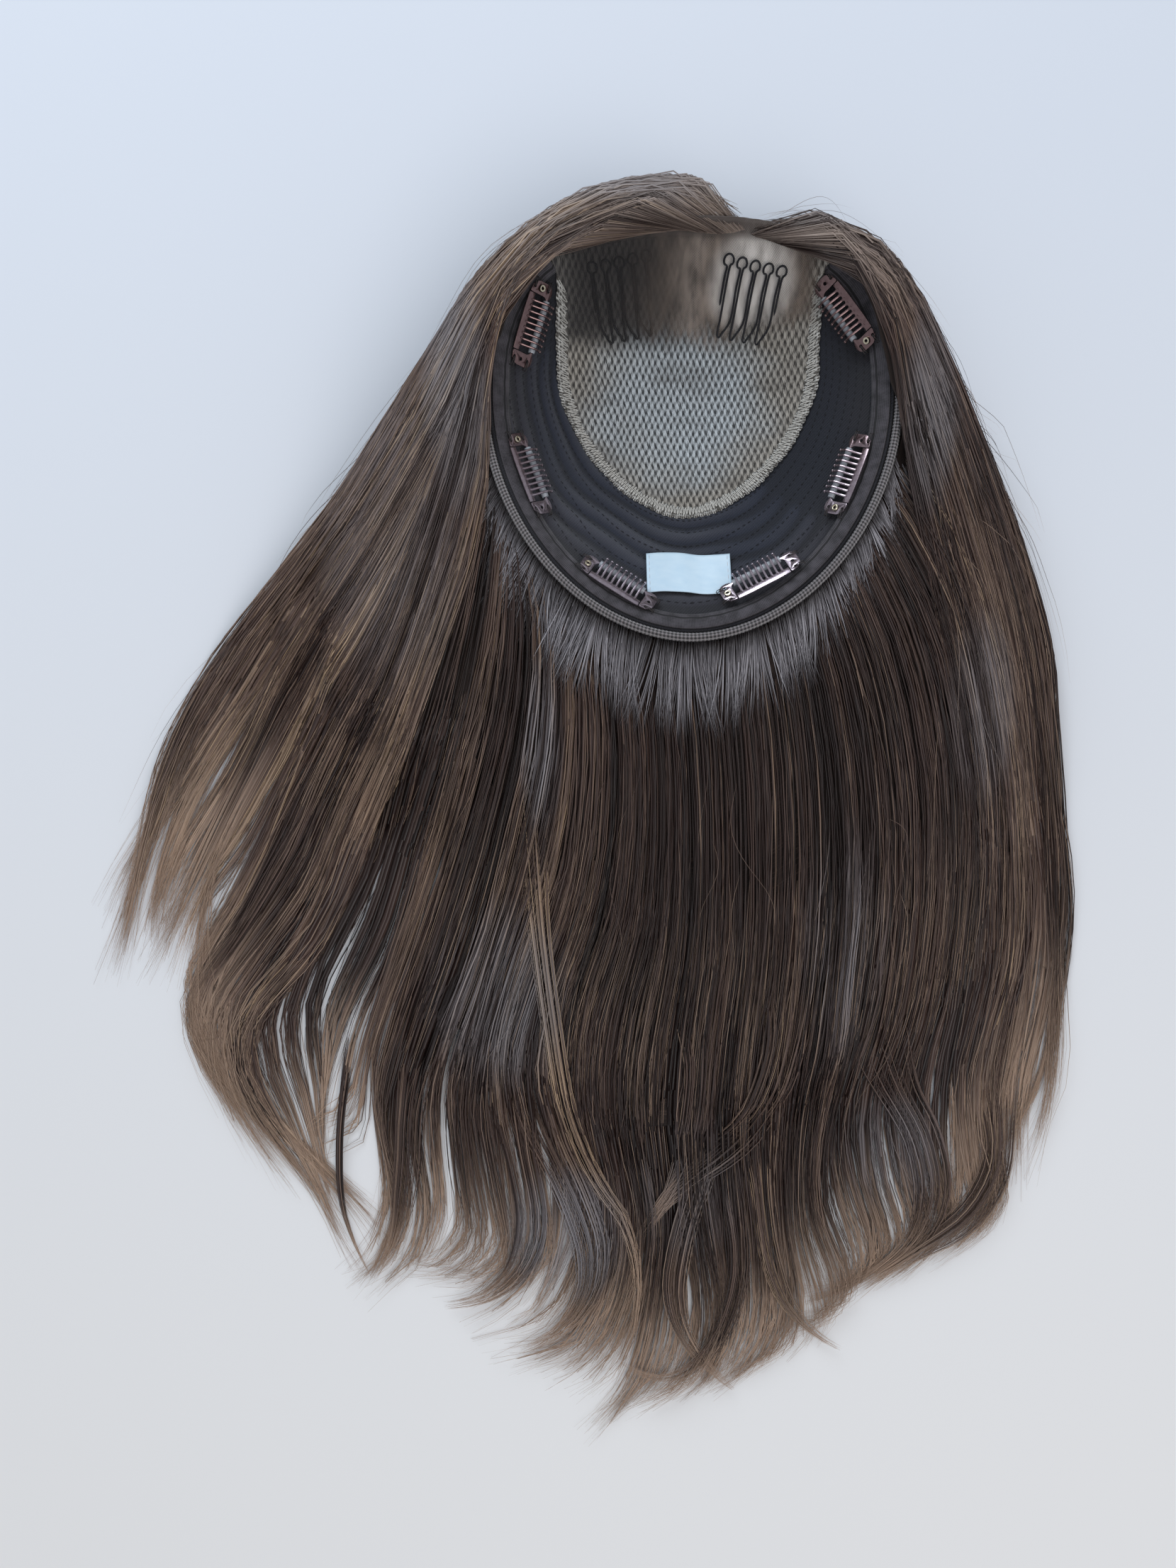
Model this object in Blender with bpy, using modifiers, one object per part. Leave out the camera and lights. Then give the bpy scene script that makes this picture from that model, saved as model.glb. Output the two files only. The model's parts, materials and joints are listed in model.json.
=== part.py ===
"""Hair topper lying on its crown, seen from its hollow side: a stretch cap with a silk top,
a lace front, wire combs and six snap clips, and long hair spread out below it.

Metres. +X is to the right and +Y towards the front hairline, as seen from above the hollow.
+Z points up out of the hollow. The origin is on the ground, under the middle of the whole.
"""

import math

import bmesh
import bpy
from mathutils import Matrix, Vector

# Clearances
GAP = 0.0003
HAIR_GAP = 0.0009

# Cap: an oval bowl, hollow side up
CAP_HALF_WIDTH = 0.075
CAP_BACK = 0.088
CAP_FRONT = 0.066
BACK_ROUNDNESS = 1.9
FRONT_ROUNDNESS = 2.6
CROWN_HEIGHT = 0.010
CAP_DEPTH = 0.037
BOWL_POWER = 2.2
SHELL_WALL = 0.0012
SHELL_END_ANGLE = 44
SHELL_STEPS = 40
SHELL_ROWS = 7
RIM_HEIGHT = CROWN_HEIGHT + CAP_DEPTH
FOLD_DEPTH = 0.0010
FOLDS = 3
FOLD_END = 0.72
FOLD_MIDDLE_ANGLE = 238
FOLD_HALF_SPREAD = 80

# Silk top, its border ribbon and the lace front
INSET_HALF_WIDTH = 0.049
INSET_SHOULDER = 0.015
INSET_BACK = 0.039
INSET_ROUNDNESS = 1.7
LACE_WALL = 0.0010
LACE_RINGS = 5
LACE_SAG = 0.0005
FRONT_STEPS = 10
BORDER_WIDTH = 0.0060
BORDER_WALL = 0.0010
FRONT_BAND_HALF_WIDTH = 0.0425
FRONT_BAND_BACK = 0.036
FRONT_BAND_DIP = 0.011
FRONT_BAND_DIP_SHARE = 0.25
FRONT_BAND_DIP_SPREAD = 0.22
FRONT_BAND_INSET = 0.001
FRONT_BAND_WALL = 0.0010
FRONT_BAND_COLUMNS = 12
FRONT_BAND_ROWS = 4
BAND_SAG = 0.0003

# Rim tape, braided binding and label
TAPE_WIDTH = 0.0060
TAPE_EDGE = 0.0004
TAPE_WALL = 0.0010
BINDING_RADIUS = 0.0016
BINDING_OUT = 0.0024
BINDING_UP = 0.0006
LABEL_WIDTH = 0.033
LABEL_HEIGHT = 0.0165
LABEL_MIDDLE_Y = -0.0655
LABEL_MIDDLE_X = 0.0
LABEL_WALL = 0.0010
LABEL_LIFT = FOLD_DEPTH + 0.0004

# Wire combs
WIRE_RADIUS = 0.00042
COMB_LOOPS = 5
COMB_PITCH = 0.0052
COMB_SLOPE = -0.0012
COMB_LOOP_RADIUS = 0.0019
COMB_STRAND_SPLIT = 0.00058
COMB_LENGTH = 0.0250
COMB_LEAN = -0.0035
COMB_END = 0.55
COMB_TOP_Y = 0.0560
RIGHT_COMB_X = 0.0150
LEFT_COMB_X = -0.0165

# Snap clips
CLIP_LENGTH = 0.032
CLIP_SHEET = 0.0006
CLIP_PLATE = 0.0049
CLIP_OUTER_EDGE = -0.0056
CLIP_INNER_EDGE = 0.0046
CLIP_BAR_WIDTH = 0.0009
CLIP_BAR_MIDDLE = 0.0034
CLIP_ROOT = -0.0026
CLIP_TOOTH_BEND = 0.0020
CLIP_TOOTH_TIP = 0.0058
CLIP_TOOTH_RISE = 0.0023
CLIP_TIP_RISE = 0.0015
CLIP_TOOTH_WIDTH = 0.0010
CLIP_TEETH = 9
CLIP_PITCH = 0.0021
CLIP_BOW = 0.0009
CLIP_CORNER = 0.0016
CLIP_NOTCH = 0.0008
SEW_HOLE = 0.00065
SEW_PITCH = 0.0032
EYELET_HOLE = 0.0009
EYELET_FLANGE = 0.0014
EYELET_BORE = 0.0005
EYELET_HEIGHT = 0.0005
TUBE_RADIUS = 0.0013
TUBE_BORE = 0.00095
TUBE_END_GAP = 0.0004

CLIP_INSET = 0.0082

# A row per clip: name, angle on the rim, share of the clips' inset from the rim, turn from
# the rim's own direction, and 1 where it lies over the label
CLIPS = (
    ("upper_left", 155, 1.06, 12, 0),
    ("mid_left", 205, 0.88, -5, 0),
    ("lower_left", 248.4, 0.98, -12, 0),
    ("lower_right", 291.6, 1.17, 3, 1),
    ("mid_right", 334.5, 1.00, 4, 0),
    ("upper_right", 28.8, 1.00, 11, 0),
)

# Hair
HAIR_HALF_WIDTH = 0.1905
HAIR_HALF_LENGTH = 0.242
HAIR_BEFORE_CAP = 0.0215
HAIR_OVER_RIM = 0.0090
HAIR_EDGE = 0.0025
HAIR_TIP = 0.0018
HAIR_DOME = 2.6
HAIR_TUCK = 0.001
HAIR_SHOULDER = RIM_HEIGHT - 0.0085
CREST_HEIGHT = RIM_HEIGHT + HAIR_OVER_RIM
CROWN_INSET = 0.0017
CROWN_ROUNDNESS = 0.8
LOCK_NOTCH = 0.014
LOCK_GROOVE = 0.42
SECTION_NOTCH = 0.185
SIDE_LOCKS = 6
BACK_LOCKS = 8
SEAM_GAP = 0.0006
SEAM_JOIN = 0.12
TAPER_RUN = 0.25
TAPER_END = 0.25

# Where hair passes over or beside the binding
LIP_CLEAR = BINDING_OUT + BINDING_RADIUS + HAIR_GAP
LIP_REACH = 0.0099
LIP_HEIGHT = RIM_HEIGHT + BINDING_UP + BINDING_RADIUS + HAIR_GAP + GAP
LIP_NOSE = 0.0012
LIP_FOOT = RIM_HEIGHT - 0.0045
LIPLESS_FOOT = RIM_HEIGHT - 0.0065

# Short fringe that fans out below the binding
FRINGE_REACH = 0.030
FRINGE_WALL = 0.0015
FRINGE_SLOPE = 0.45
FRINGE_TOP = RIM_HEIGHT - 0.005
FRINGE_LOCKS = 19
FRINGE_START = 202
FRINGE_STOP = 330
FRINGE_VALLEY = 0.62
FRINGE_MARGIN = 0.0087
# The section of the tables below from which side hair lies under the short fringe
UNDER_FRINGE = 7.1

# The cap's middle, placed by its share of the hair across and by its front edge
CAP_X = HAIR_HALF_WIDTH * 0.189
CAP_Y = HAIR_HALF_LENGTH - HAIR_BEFORE_CAP - CAP_FRONT

# Where the side hair parts from the back hair: two straight seams, from the rim to the tips,
# in shares of the hair's half width and half length
LEFT_SEAM_ANGLE = 222
LEFT_SEAM_END = (-0.462, -0.806)
RIGHT_SEAM_ANGLE = 312
RIGHT_SEAM_END = (0.546, -0.93)

# Side hair beside the cap, a row per section: angle on the rim, outline across and along in
# shares of the hair, share of the lip's longest reach over the rim, and share of the crest
LEFT_ROUND = (
    (75, 0.290, 0.955, 0.45, 0.929),
    (92, 0.160, 0.995, 0.45, 0.982),
    (110, -0.020, 0.975, 0.50, 1.000),
    (128, -0.200, 0.895, 0.80, 1.000),
    (146, -0.300, 0.770, 1.00, 0.982),
    (164, -0.385, 0.670, 0.80, 0.946),
    (182, -0.500, 0.545, 0.00, 0.920),
    (193, -0.565, 0.480, 0.00, 0.804),
    (206, -0.640, 0.400, 0.00, 0.696),
    (222, -0.720, 0.310, 0.00, 0.696),
)
RIGHT_ROUND = (
    (71, 0.335, 0.940, 0.45, 0.911),
    (58, 0.410, 0.935, 0.45, 0.973),
    (45, 0.490, 0.930, 0.70, 1.000),
    (30, 0.575, 0.890, 1.00, 1.000),
    (15, 0.660, 0.820, 1.00, 0.982),
    (2, 0.715, 0.740, 0.70, 0.946),
    (-10, 0.760, 0.660, 0.00, 0.920),
    (-21, 0.805, 0.595, 0.00, 0.804),
    (-34, 0.860, 0.500, 0.00, 0.696),
    (-48, 0.905, 0.400, 0.00, 0.696),
)
# Side hair below the cap: share of the seam, outline across and along, and share of the crest
LEFT_FALL = (
    (0.25, -0.860, 0.140, 0.411),
    (0.50, -0.965, -0.075, 0.304),
    (0.75, -1.030, -0.250, 0.232),
    (1.00, -1.060, -0.450, 0.143),
)
RIGHT_FALL = (
    (0.25, 0.955, 0.240, 0.411),
    (0.50, 0.975, 0.000, 0.304),
    (0.72, 0.997, -0.260, 0.232),
    (0.86, 0.985, -0.450, 0.196),
    (1.00, 0.930, -0.800, 0.143),
)
# Back hair: how far down it is from the rim in shares of its length, and share of the crest
BACK_FALL = ((0.00, 0.696), (0.12, 0.429), (0.33, 0.304), (0.55, 0.214), (0.70, 0.143))
# Where the locks end: share across from the outline to the seam, and how far along the hair
LEFT_ENDS = (
    (0.00, -0.150), (0.12, -0.250), (0.26, -0.240), (0.33, -0.060), (0.40, -0.380),
    (0.48, -0.470), (0.60, -0.550), (0.72, -0.620), (0.86, -0.700), (1.00, -0.790),
)
RIGHT_ENDS = (
    (0.00, -0.390), (0.10, -0.440), (0.20, -0.470), (0.30, -0.640), (0.45, -0.700),
    (0.60, -0.750), (0.80, -0.810), (1.00, -0.860),
)
BACK_ENDS = (
    (0.00, -0.790), (0.12, -0.830), (0.25, -0.880), (0.40, -0.955), (0.50, -0.995),
    (0.65, -0.995), (0.75, -0.955), (0.85, -0.910), (1.00, -0.870),
)


def clear_scene():
    for obj in list(bpy.data.objects):
        bpy.data.objects.remove(obj)


def make_collection(name):
    made = bpy.data.collections.new(name)
    bpy.context.scene.collection.children.link(made)
    return made


def finish(name, colour, roughness, metallic=0.0, alpha=1.0):
    """A Principled material."""
    made = bpy.data.materials.new(name)
    made.use_nodes = True
    shader = made.node_tree.nodes["Principled BSDF"]
    shader.inputs["Base Color"].default_value = (*colour, 1.0)
    shader.inputs["Roughness"].default_value = roughness
    shader.inputs["Metallic"].default_value = metallic
    shader.inputs["Alpha"].default_value = alpha
    return made


def mix(a, b, share):
    return a + (b - a) * share


def between(rows, at):
    """The other columns of a table, read at a value of its first column."""
    if at <= rows[0][0]:
        return rows[0][1:]
    for low, high in zip(rows, rows[1:]):
        if at <= high[0]:
            share = (at - low[0]) / (high[0] - low[0])
            return tuple(mix(a, b, share) for a, b in zip(low[1:], high[1:]))
    return rows[-1][1:]


def smooth_between(rows, at):
    """The columns after the first, on a smooth curve through rows one step apart."""
    index = min(int(at), len(rows) - 2)
    t = at - index
    before = rows[max(index - 1, 0)]
    low, high = rows[index], rows[index + 1]
    after = rows[min(index + 2, len(rows) - 1)]
    found = []
    for a, b, c, d in zip(before, low, high, after):
        bend = (2 * a - 5 * b + 4 * c - d) * t * t + (3 * b - a - 3 * c + d) * t ** 3
        found.append(0.5 * (2 * b + (c - a) * t + bend))
    return tuple(found)


def rim_radius(angle):
    """From the cap's middle to its rim, in a direction given in degrees."""
    across = abs(math.cos(math.radians(angle)))
    along = math.sin(math.radians(angle))
    reach = CAP_FRONT if along > 0 else CAP_BACK
    power = FRONT_ROUNDNESS if along > 0 else BACK_ROUNDNESS
    total = (across / CAP_HALF_WIDTH) ** power + (abs(along) / reach) ** power
    return total ** (-1 / power)


def inset_radius(angle):
    """From the cap's middle to the edge of the silk top, which is a U open to the front."""
    across = abs(math.cos(math.radians(angle)))
    along = math.sin(math.radians(angle))
    straight = INSET_HALF_WIDTH / max(across, 1e-6)
    if straight * along > INSET_SHOULDER:
        return straight
    low, high = 0.0, straight
    depth = INSET_BACK + INSET_SHOULDER
    for _ in range(40):
        middle = (low + high) / 2
        x = middle * across / INSET_HALF_WIDTH
        y = max(INSET_SHOULDER - middle * along, 0) / depth
        if x ** INSET_ROUNDNESS + y ** INSET_ROUNDNESS > 1:
            high = middle
        else:
            low = middle
    return low


def polar(angle, radius):
    return radius * math.cos(math.radians(angle)), radius * math.sin(math.radians(angle))


def bowl_height(x, y):
    """Height of the bowl's inner face at a place measured from the cap's middle."""
    radius = math.hypot(x, y)
    share = radius / rim_radius(math.degrees(math.atan2(y, x))) if radius else 0.0
    return CROWN_HEIGHT + CAP_DEPTH * share ** BOWL_POWER


def bowl_normal(x, y):
    step = 0.0005
    slope_x = (bowl_height(x + step, y) - bowl_height(x - step, y)) / (2 * step)
    slope_y = (bowl_height(x, y + step) - bowl_height(x, y - step)) / (2 * step)
    return Vector((-slope_x, -slope_y, 1)).normalized()


def on_cap(x, y, lift=0.0):
    """A point over the bowl's inner face, given from the cap's middle."""
    base = Vector((CAP_X + x, CAP_Y + y, bowl_height(x, y)))
    return base + bowl_normal(x, y) * lift


def rim_point(angle, out, height):
    """A point at a height, outside the rim by out."""
    x, y = polar(angle, rim_radius(angle) + out)
    return Vector((CAP_X + x, CAP_Y + y, height))


def add_mesh(name, points, faces, material, wall=0.0, side=-1.0, smooth=True):
    """An object of points and faces in world places, given a wall if it is a sheet."""
    mesh = bpy.data.meshes.new(name)
    mesh.from_pydata([tuple(p) for p in points], [], faces)
    obj = bpy.data.objects.new(name, mesh)
    PARTS.objects.link(obj)
    mesh.materials.append(material)
    work = bmesh.new()
    work.from_mesh(mesh)
    if wall:
        if sum(face.normal.z for face in work.faces) < 0:
            bmesh.ops.reverse_faces(work, faces=work.faces)
    else:
        bmesh.ops.recalc_face_normals(work, faces=work.faces)
    work.to_mesh(mesh)
    work.free()
    if smooth:
        mesh.shade_smooth()
        mesh.set_sharp_from_angle(angle=math.radians(40))
    if wall:
        shell = obj.modifiers.new("wall", "SOLIDIFY")
        shell.thickness = wall
        shell.offset = side
    return obj


def grid_faces(rows, columns, closed=False):
    faces = []
    for row in range(rows - 1):
        for column in range(columns if closed else columns - 1):
            right = (column + 1) % columns
            low, high = row * columns, (row + 1) * columns
            faces.append((low + column, low + right, high + right, high + column))
    return faces


def shell_angles():
    """From the right front corner round the back to the left front corner."""
    span = 180 + 2 * SHELL_END_ANGLE
    return [SHELL_END_ANGLE - span * i / SHELL_STEPS for i in range(SHELL_STEPS + 1)]


def fold_height(angle, share):
    """The stretch fabric's rounded folds, at a share of the way from silk top to rim."""
    away = (angle % 360 - FOLD_MIDDLE_ANGLE) / FOLD_HALF_SPREAD
    if abs(away) > 1 or share > FOLD_END:
        return 0.0
    strength = math.sqrt(math.cos(away * math.pi / 2)) / 2
    return FOLD_DEPTH * strength * (1 - math.cos(math.tau * FOLDS * share / FOLD_END))


def make_cap_shell(material):
    """The dark stretch fabric: a horseshoe of the bowl with rounded folds at the back."""
    points = []
    shares = [i / (SHELL_ROWS - 1) for i in range(SHELL_ROWS)]
    for angle in shell_angles():
        inner, outer = inset_radius(angle) + GAP, rim_radius(angle)
        for share in shares:
            x, y = polar(angle, mix(inner, outer, share))
            points.append(on_cap(x, y, fold_height(angle, share)))
    add_mesh("cap_shell", points, grid_faces(SHELL_STEPS + 1, SHELL_ROWS), material,
             SHELL_WALL)


def make_lace_top(material):
    """The silk top in the cap's U, with its front edge on the hairline."""
    span = 180 - 2 * SHELL_END_ANGLE
    front = [180 - SHELL_END_ANGLE - span * i / FRONT_STEPS for i in range(1, FRONT_STEPS)]
    edge = [(angle, inset_radius(angle) - GAP) for angle in shell_angles()]
    edge += [(angle, rim_radius(angle)) for angle in front]
    points = []
    for ring in range(LACE_RINGS):
        for angle, radius in edge:
            x, y = polar(angle, radius * (1 - ring / LACE_RINGS))
            points.append(on_cap(x, y))
    count = len(edge)
    faces = grid_faces(LACE_RINGS, count, closed=True)
    last = (LACE_RINGS - 1) * count
    points.append(on_cap(0.0, 0.0))
    middle = len(points) - 1
    faces += [(last + i, last + (i + 1) % count, middle) for i in range(count)]
    add_mesh("lace_top", points, faces, material, LACE_WALL)


def make_strip(name, inner_of, outer_of, lift, wall, material):
    """A ribbon on the cap between two distances from its middle, round the horseshoe."""
    points = []
    for angle in shell_angles():
        for radius in (inner_of(angle), outer_of(angle)):
            points.append(on_cap(*polar(angle, radius), lift))
    add_mesh(name, points, grid_faces(SHELL_STEPS + 1, 2), material, wall, 1.0)


def border_outer(angle):
    return inset_radius(angle) + BORDER_WIDTH * 0.36


def tape_inner(angle):
    """The tape narrows at the front corners, where the silk top nearly meets the rim."""
    return max(rim_radius(angle) - TAPE_WIDTH, border_outer(angle) + 2 * GAP)


def make_front_band(material):
    """The fine lace strip along the hairline, with the fold that dips towards the crown."""
    lift = 3 * GAP + LACE_SAG + 2 * WIRE_RADIUS + BAND_SAG
    points = []
    for row in range(FRONT_BAND_ROWS + 1):
        for column in range(FRONT_BAND_COLUMNS + 1):
            across = mix(-1, 1, column / FRONT_BAND_COLUMNS)
            x = across * FRONT_BAND_HALF_WIDTH
            dip = math.exp(-((across - FRONT_BAND_DIP_SHARE) / FRONT_BAND_DIP_SPREAD) ** 2)
            low = FRONT_BAND_BACK - FRONT_BAND_DIP * dip
            flat = (abs(x) / CAP_HALF_WIDTH) ** FRONT_ROUNDNESS
            high = CAP_FRONT * (1 - flat) ** (1 / FRONT_ROUNDNESS) - FRONT_BAND_INSET
            points.append(on_cap(x, mix(low, high, row / FRONT_BAND_ROWS), lift))
    faces = grid_faces(FRONT_BAND_ROWS + 1, FRONT_BAND_COLUMNS + 1)
    add_mesh("lace_front", points, faces, material, FRONT_BAND_WALL, 1.0)
    return lift + FRONT_BAND_WALL


def make_label(material):
    """A bare satin label on the folds at the centre back."""
    columns, rows = 9, 4
    points = []
    for row in range(rows):
        for column in range(columns):
            x = LABEL_MIDDLE_X + LABEL_WIDTH * (column / (columns - 1) - 0.5)
            y = LABEL_MIDDLE_Y + LABEL_HEIGHT * (0.5 - row / (rows - 1))
            points.append(on_cap(x, y, LABEL_LIFT))
    add_mesh("label", points, grid_faces(rows, columns), material, LABEL_WALL, 1.0)


def add_wire(name, points, radius, resolution, material):
    """A round wire or cord through points, with filled ends."""
    curve = bpy.data.curves.new(name, "CURVE")
    curve.dimensions = "3D"
    curve.bevel_depth = radius
    curve.bevel_resolution = resolution
    curve.use_fill_caps = True
    spline = curve.splines.new("POLY")
    spline.points.add(len(points) - 1)
    for place, point in zip(spline.points, points):
        place.co = (*point, 1.0)
    curve.materials.append(material)
    obj = bpy.data.objects.new(name, curve)
    PARTS.objects.link(obj)
    return obj


def make_binding(material):
    """The braided cord sewn round the rim."""
    height = RIM_HEIGHT + BINDING_UP
    points = [rim_point(angle, BINDING_OUT, height) for angle in shell_angles()]
    add_wire("rim_binding", points, BINDING_RADIUS, 1, material)


def comb_wire(start_x, hand, lift):
    """One bent wire: a round loop at each top, and a narrow tip between two loops."""
    points = []

    def put(x, y):
        points.append(on_cap(start_x + hand * x, COMB_TOP_Y + y, lift))

    neck = math.asin(COMB_STRAND_SPLIT / COMB_LOOP_RADIUS)
    tip_half = (COMB_PITCH - 2 * COMB_STRAND_SPLIT) / 2
    for loop in range(COMB_LOOPS):
        x, y = loop * COMB_PITCH, loop * COMB_SLOPE
        if loop == 0:
            put(x - COMB_STRAND_SPLIT + COMB_LEAN * COMB_END, y - COMB_LENGTH * COMB_END)
        for turn in range(6):
            angle = -math.pi / 2 - neck - (math.tau - 2 * neck) * turn / 5
            put(x + COMB_LOOP_RADIUS * math.cos(angle), y + COMB_LOOP_RADIUS * math.sin(angle))
        if loop == COMB_LOOPS - 1:
            put(x + COMB_STRAND_SPLIT + COMB_LEAN * COMB_END, y - COMB_LENGTH * COMB_END)
            break
        put(x + COMB_STRAND_SPLIT + COMB_LEAN * 0.7, y - COMB_LENGTH * 0.7)
        tip_x = x + COMB_STRAND_SPLIT + COMB_LEAN + tip_half * 0.35
        put(tip_x - tip_half * 0.35, y - COMB_LENGTH * 0.95)
        put(tip_x, y - COMB_LENGTH)
        put(tip_x + tip_half * 0.5, y - COMB_LENGTH * 0.95)
        next_x = x + COMB_PITCH - COMB_STRAND_SPLIT
        put(next_x + COMB_LEAN * 0.7, y + COMB_SLOPE - COMB_LENGTH * 0.7)
    return points


def clip_frame(angle, inset, turn, over_label):
    """The matrix of a clip: its length along the rim, its teeth towards the crown."""
    lift = over_label * (LABEL_LIFT + LABEL_WALL - TAPE_WALL)
    x, y = polar(angle, rim_radius(angle) - inset)
    normal = bowl_normal(x, y)
    heading = math.radians(angle + 90 + turn)
    along = Vector((math.cos(heading), math.sin(heading), 0))
    along = (along - normal * along.dot(normal)).normalized()
    inward = normal.cross(along)
    origin = on_cap(x, y)
    need = 0.0
    for u in (-0.5, -0.25, 0, 0.25, 0.5):
        for v in (CLIP_OUTER_EDGE, 0, CLIP_INNER_EDGE):
            place = origin + along * (u * CLIP_LENGTH) + inward * v
            under = on_cap(place.x - CAP_X, place.y - CAP_Y, GAP + TAPE_WALL)
            need = max(need, (under - origin).dot(normal))
    origin = origin + normal * (need + 2 * GAP + lift)
    axes = Matrix((along, inward, normal)).transposed().to_4x4()
    return Matrix.Translation(origin) @ axes


def add_outline(name, loops, thickness, place, material):
    """A flat sheet cut from outlines, the first of them the outer one."""
    curve = bpy.data.curves.new(name, "CURVE")
    curve.dimensions = "2D"
    curve.fill_mode = "BOTH"
    curve.extrude = thickness / 2
    for loop in loops:
        spline = curve.splines.new("POLY")
        spline.points.add(len(loop) - 1)
        spline.use_cyclic_u = True
        for point, (x, y) in zip(spline.points, loop):
            point.co = (x, y, 0.0, 1.0)
    curve.materials.append(material)
    obj = bpy.data.objects.new(name, curve)
    PARTS.objects.link(obj)
    obj.matrix_world = place @ Matrix.Translation((0, 0, thickness / 2))
    return obj


def round_loop(x, y, radius, sides):
    turns = [math.tau * i / sides for i in range(sides)]
    return [(x + radius * math.cos(t), y + radius * math.sin(t)) for t in turns]


def make_clip_frame(name, place, material):
    """The sewn part: an end plate at each side, joined by the narrow bar."""
    half = CLIP_LENGTH / 2
    inner = half - CLIP_PLATE
    low_bar = CLIP_BAR_MIDDLE - CLIP_BAR_WIDTH / 2
    high_bar = CLIP_BAR_MIDDLE + CLIP_BAR_WIDTH / 2
    right = [
        (inner, CLIP_OUTER_EDGE + CLIP_BOW * 0.4),
        (half - CLIP_CORNER, CLIP_OUTER_EDGE + CLIP_BOW * 1.5),
        (half, CLIP_OUTER_EDGE + 2 * CLIP_CORNER),
        (half, CLIP_INNER_EDGE - CLIP_CORNER),
        (half - CLIP_CORNER, CLIP_INNER_EDGE),
        (inner + CLIP_NOTCH, CLIP_INNER_EDGE),
        (inner - CLIP_NOTCH / 2, high_bar),
    ]
    left = [(-x, y) for x, y in reversed(right)]
    shoulder = low_bar - 1.5 * CLIP_NOTCH
    outer = right + left + [(-inner, shoulder), (-inner + CLIP_NOTCH, low_bar),
                            (inner - CLIP_NOTCH, low_bar), (inner, shoulder)]
    hole_x = half - CLIP_PLATE / 2
    hole_y = (CLIP_OUTER_EDGE + CLIP_INNER_EDGE) / 2
    holes = [round_loop(-hole_x, hole_y, EYELET_HOLE, 6),
             round_loop(hole_x, hole_y, SEW_HOLE, 6)]
    holes += [round_loop(x, hole_y + y, SEW_HOLE, 6)
              for x in (-hole_x, hole_x) for y in (-SEW_PITCH, SEW_PITCH)]
    return add_outline(name, [outer] + holes, CLIP_SHEET, place, material)


def make_clip_comb(name, place, material):
    """The moving part: the wide bar and its teeth, with its origin on the hinge line."""
    half = CLIP_LENGTH / 2 - CLIP_PLATE - GAP
    edges = [-half]
    for tooth in range(CLIP_TEETH):
        middle = (tooth - (CLIP_TEETH - 1) / 2) * CLIP_PITCH
        edges += [middle - CLIP_TOOTH_WIDTH / 2, middle + CLIP_TOOTH_WIDTH / 2]
    edges.append(half)
    hinge = CLIP_OUTER_EDGE
    levels = ((CLIP_ROOT, 0.0), (CLIP_TOOTH_BEND, CLIP_TOOTH_RISE),
              (CLIP_TOOTH_TIP, CLIP_TIP_RISE))
    points = []
    for x in edges:
        bow = CLIP_BOW * 0.4 * (x / half) ** 2
        points.append((x, CLIP_OUTER_EDGE + bow - hinge, 0.0))
    for y, z in levels:
        points += [(x, y - hinge, z) for x in edges]
    count = len(edges)
    faces = [(i, i + 1, count + i + 1, count + i) for i in range(count - 1)]
    for level in (1, 2):
        low, high = level * count, (level + 1) * count
        faces += [(low + i, low + i + 1, high + i + 1, high + i)
                  for i in range(1, count - 1, 2)]
    work = bmesh.new()
    made = [work.verts.new(point) for point in points]
    for face in faces:
        work.faces.new([made[i] for i in face])
    loose = [vert for vert in made if not vert.link_faces]
    bmesh.ops.delete(work, geom=loose, context="VERTS")
    mesh = bpy.data.meshes.new(name)
    work.to_mesh(mesh)
    work.free()
    mesh.materials.append(material)
    obj = bpy.data.objects.new(name, mesh)
    PARTS.objects.link(obj)
    sheet = obj.modifiers.new("sheet", "SOLIDIFY")
    sheet.thickness = CLIP_SHEET
    sheet.offset = 1.0
    obj.matrix_world = place @ Matrix.Translation((0, hinge, 0))
    return obj


def add_turned(name, profile, sides, axis, place, material):
    """A ring: a closed profile of (radius, height) turned about an axis."""
    work = bmesh.new()
    first = Vector((0, 1, 0)) if axis == "X" else Vector((1, 0, 0))
    along = Vector((1, 0, 0)) if axis == "X" else Vector((0, 0, 1))
    verts = [work.verts.new(first * r + along * h) for r, h in profile]
    edges = [work.edges.new((a, b)) for a, b in zip(verts, verts[1:] + verts[:1])]
    bmesh.ops.spin(work, geom=verts + edges, cent=(0, 0, 0), axis=along, steps=sides,
                   angle=math.tau, use_merge=True)
    bmesh.ops.remove_doubles(work, verts=work.verts, dist=1e-6)
    bmesh.ops.recalc_face_normals(work, faces=work.faces)
    mesh = bpy.data.meshes.new(name)
    work.to_mesh(mesh)
    work.free()
    mesh.materials.append(material)
    mesh.shade_smooth()
    mesh.set_sharp_from_angle(angle=math.radians(50))
    obj = bpy.data.objects.new(name, mesh)
    PARTS.objects.link(obj)
    obj.matrix_world = place
    return obj


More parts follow.
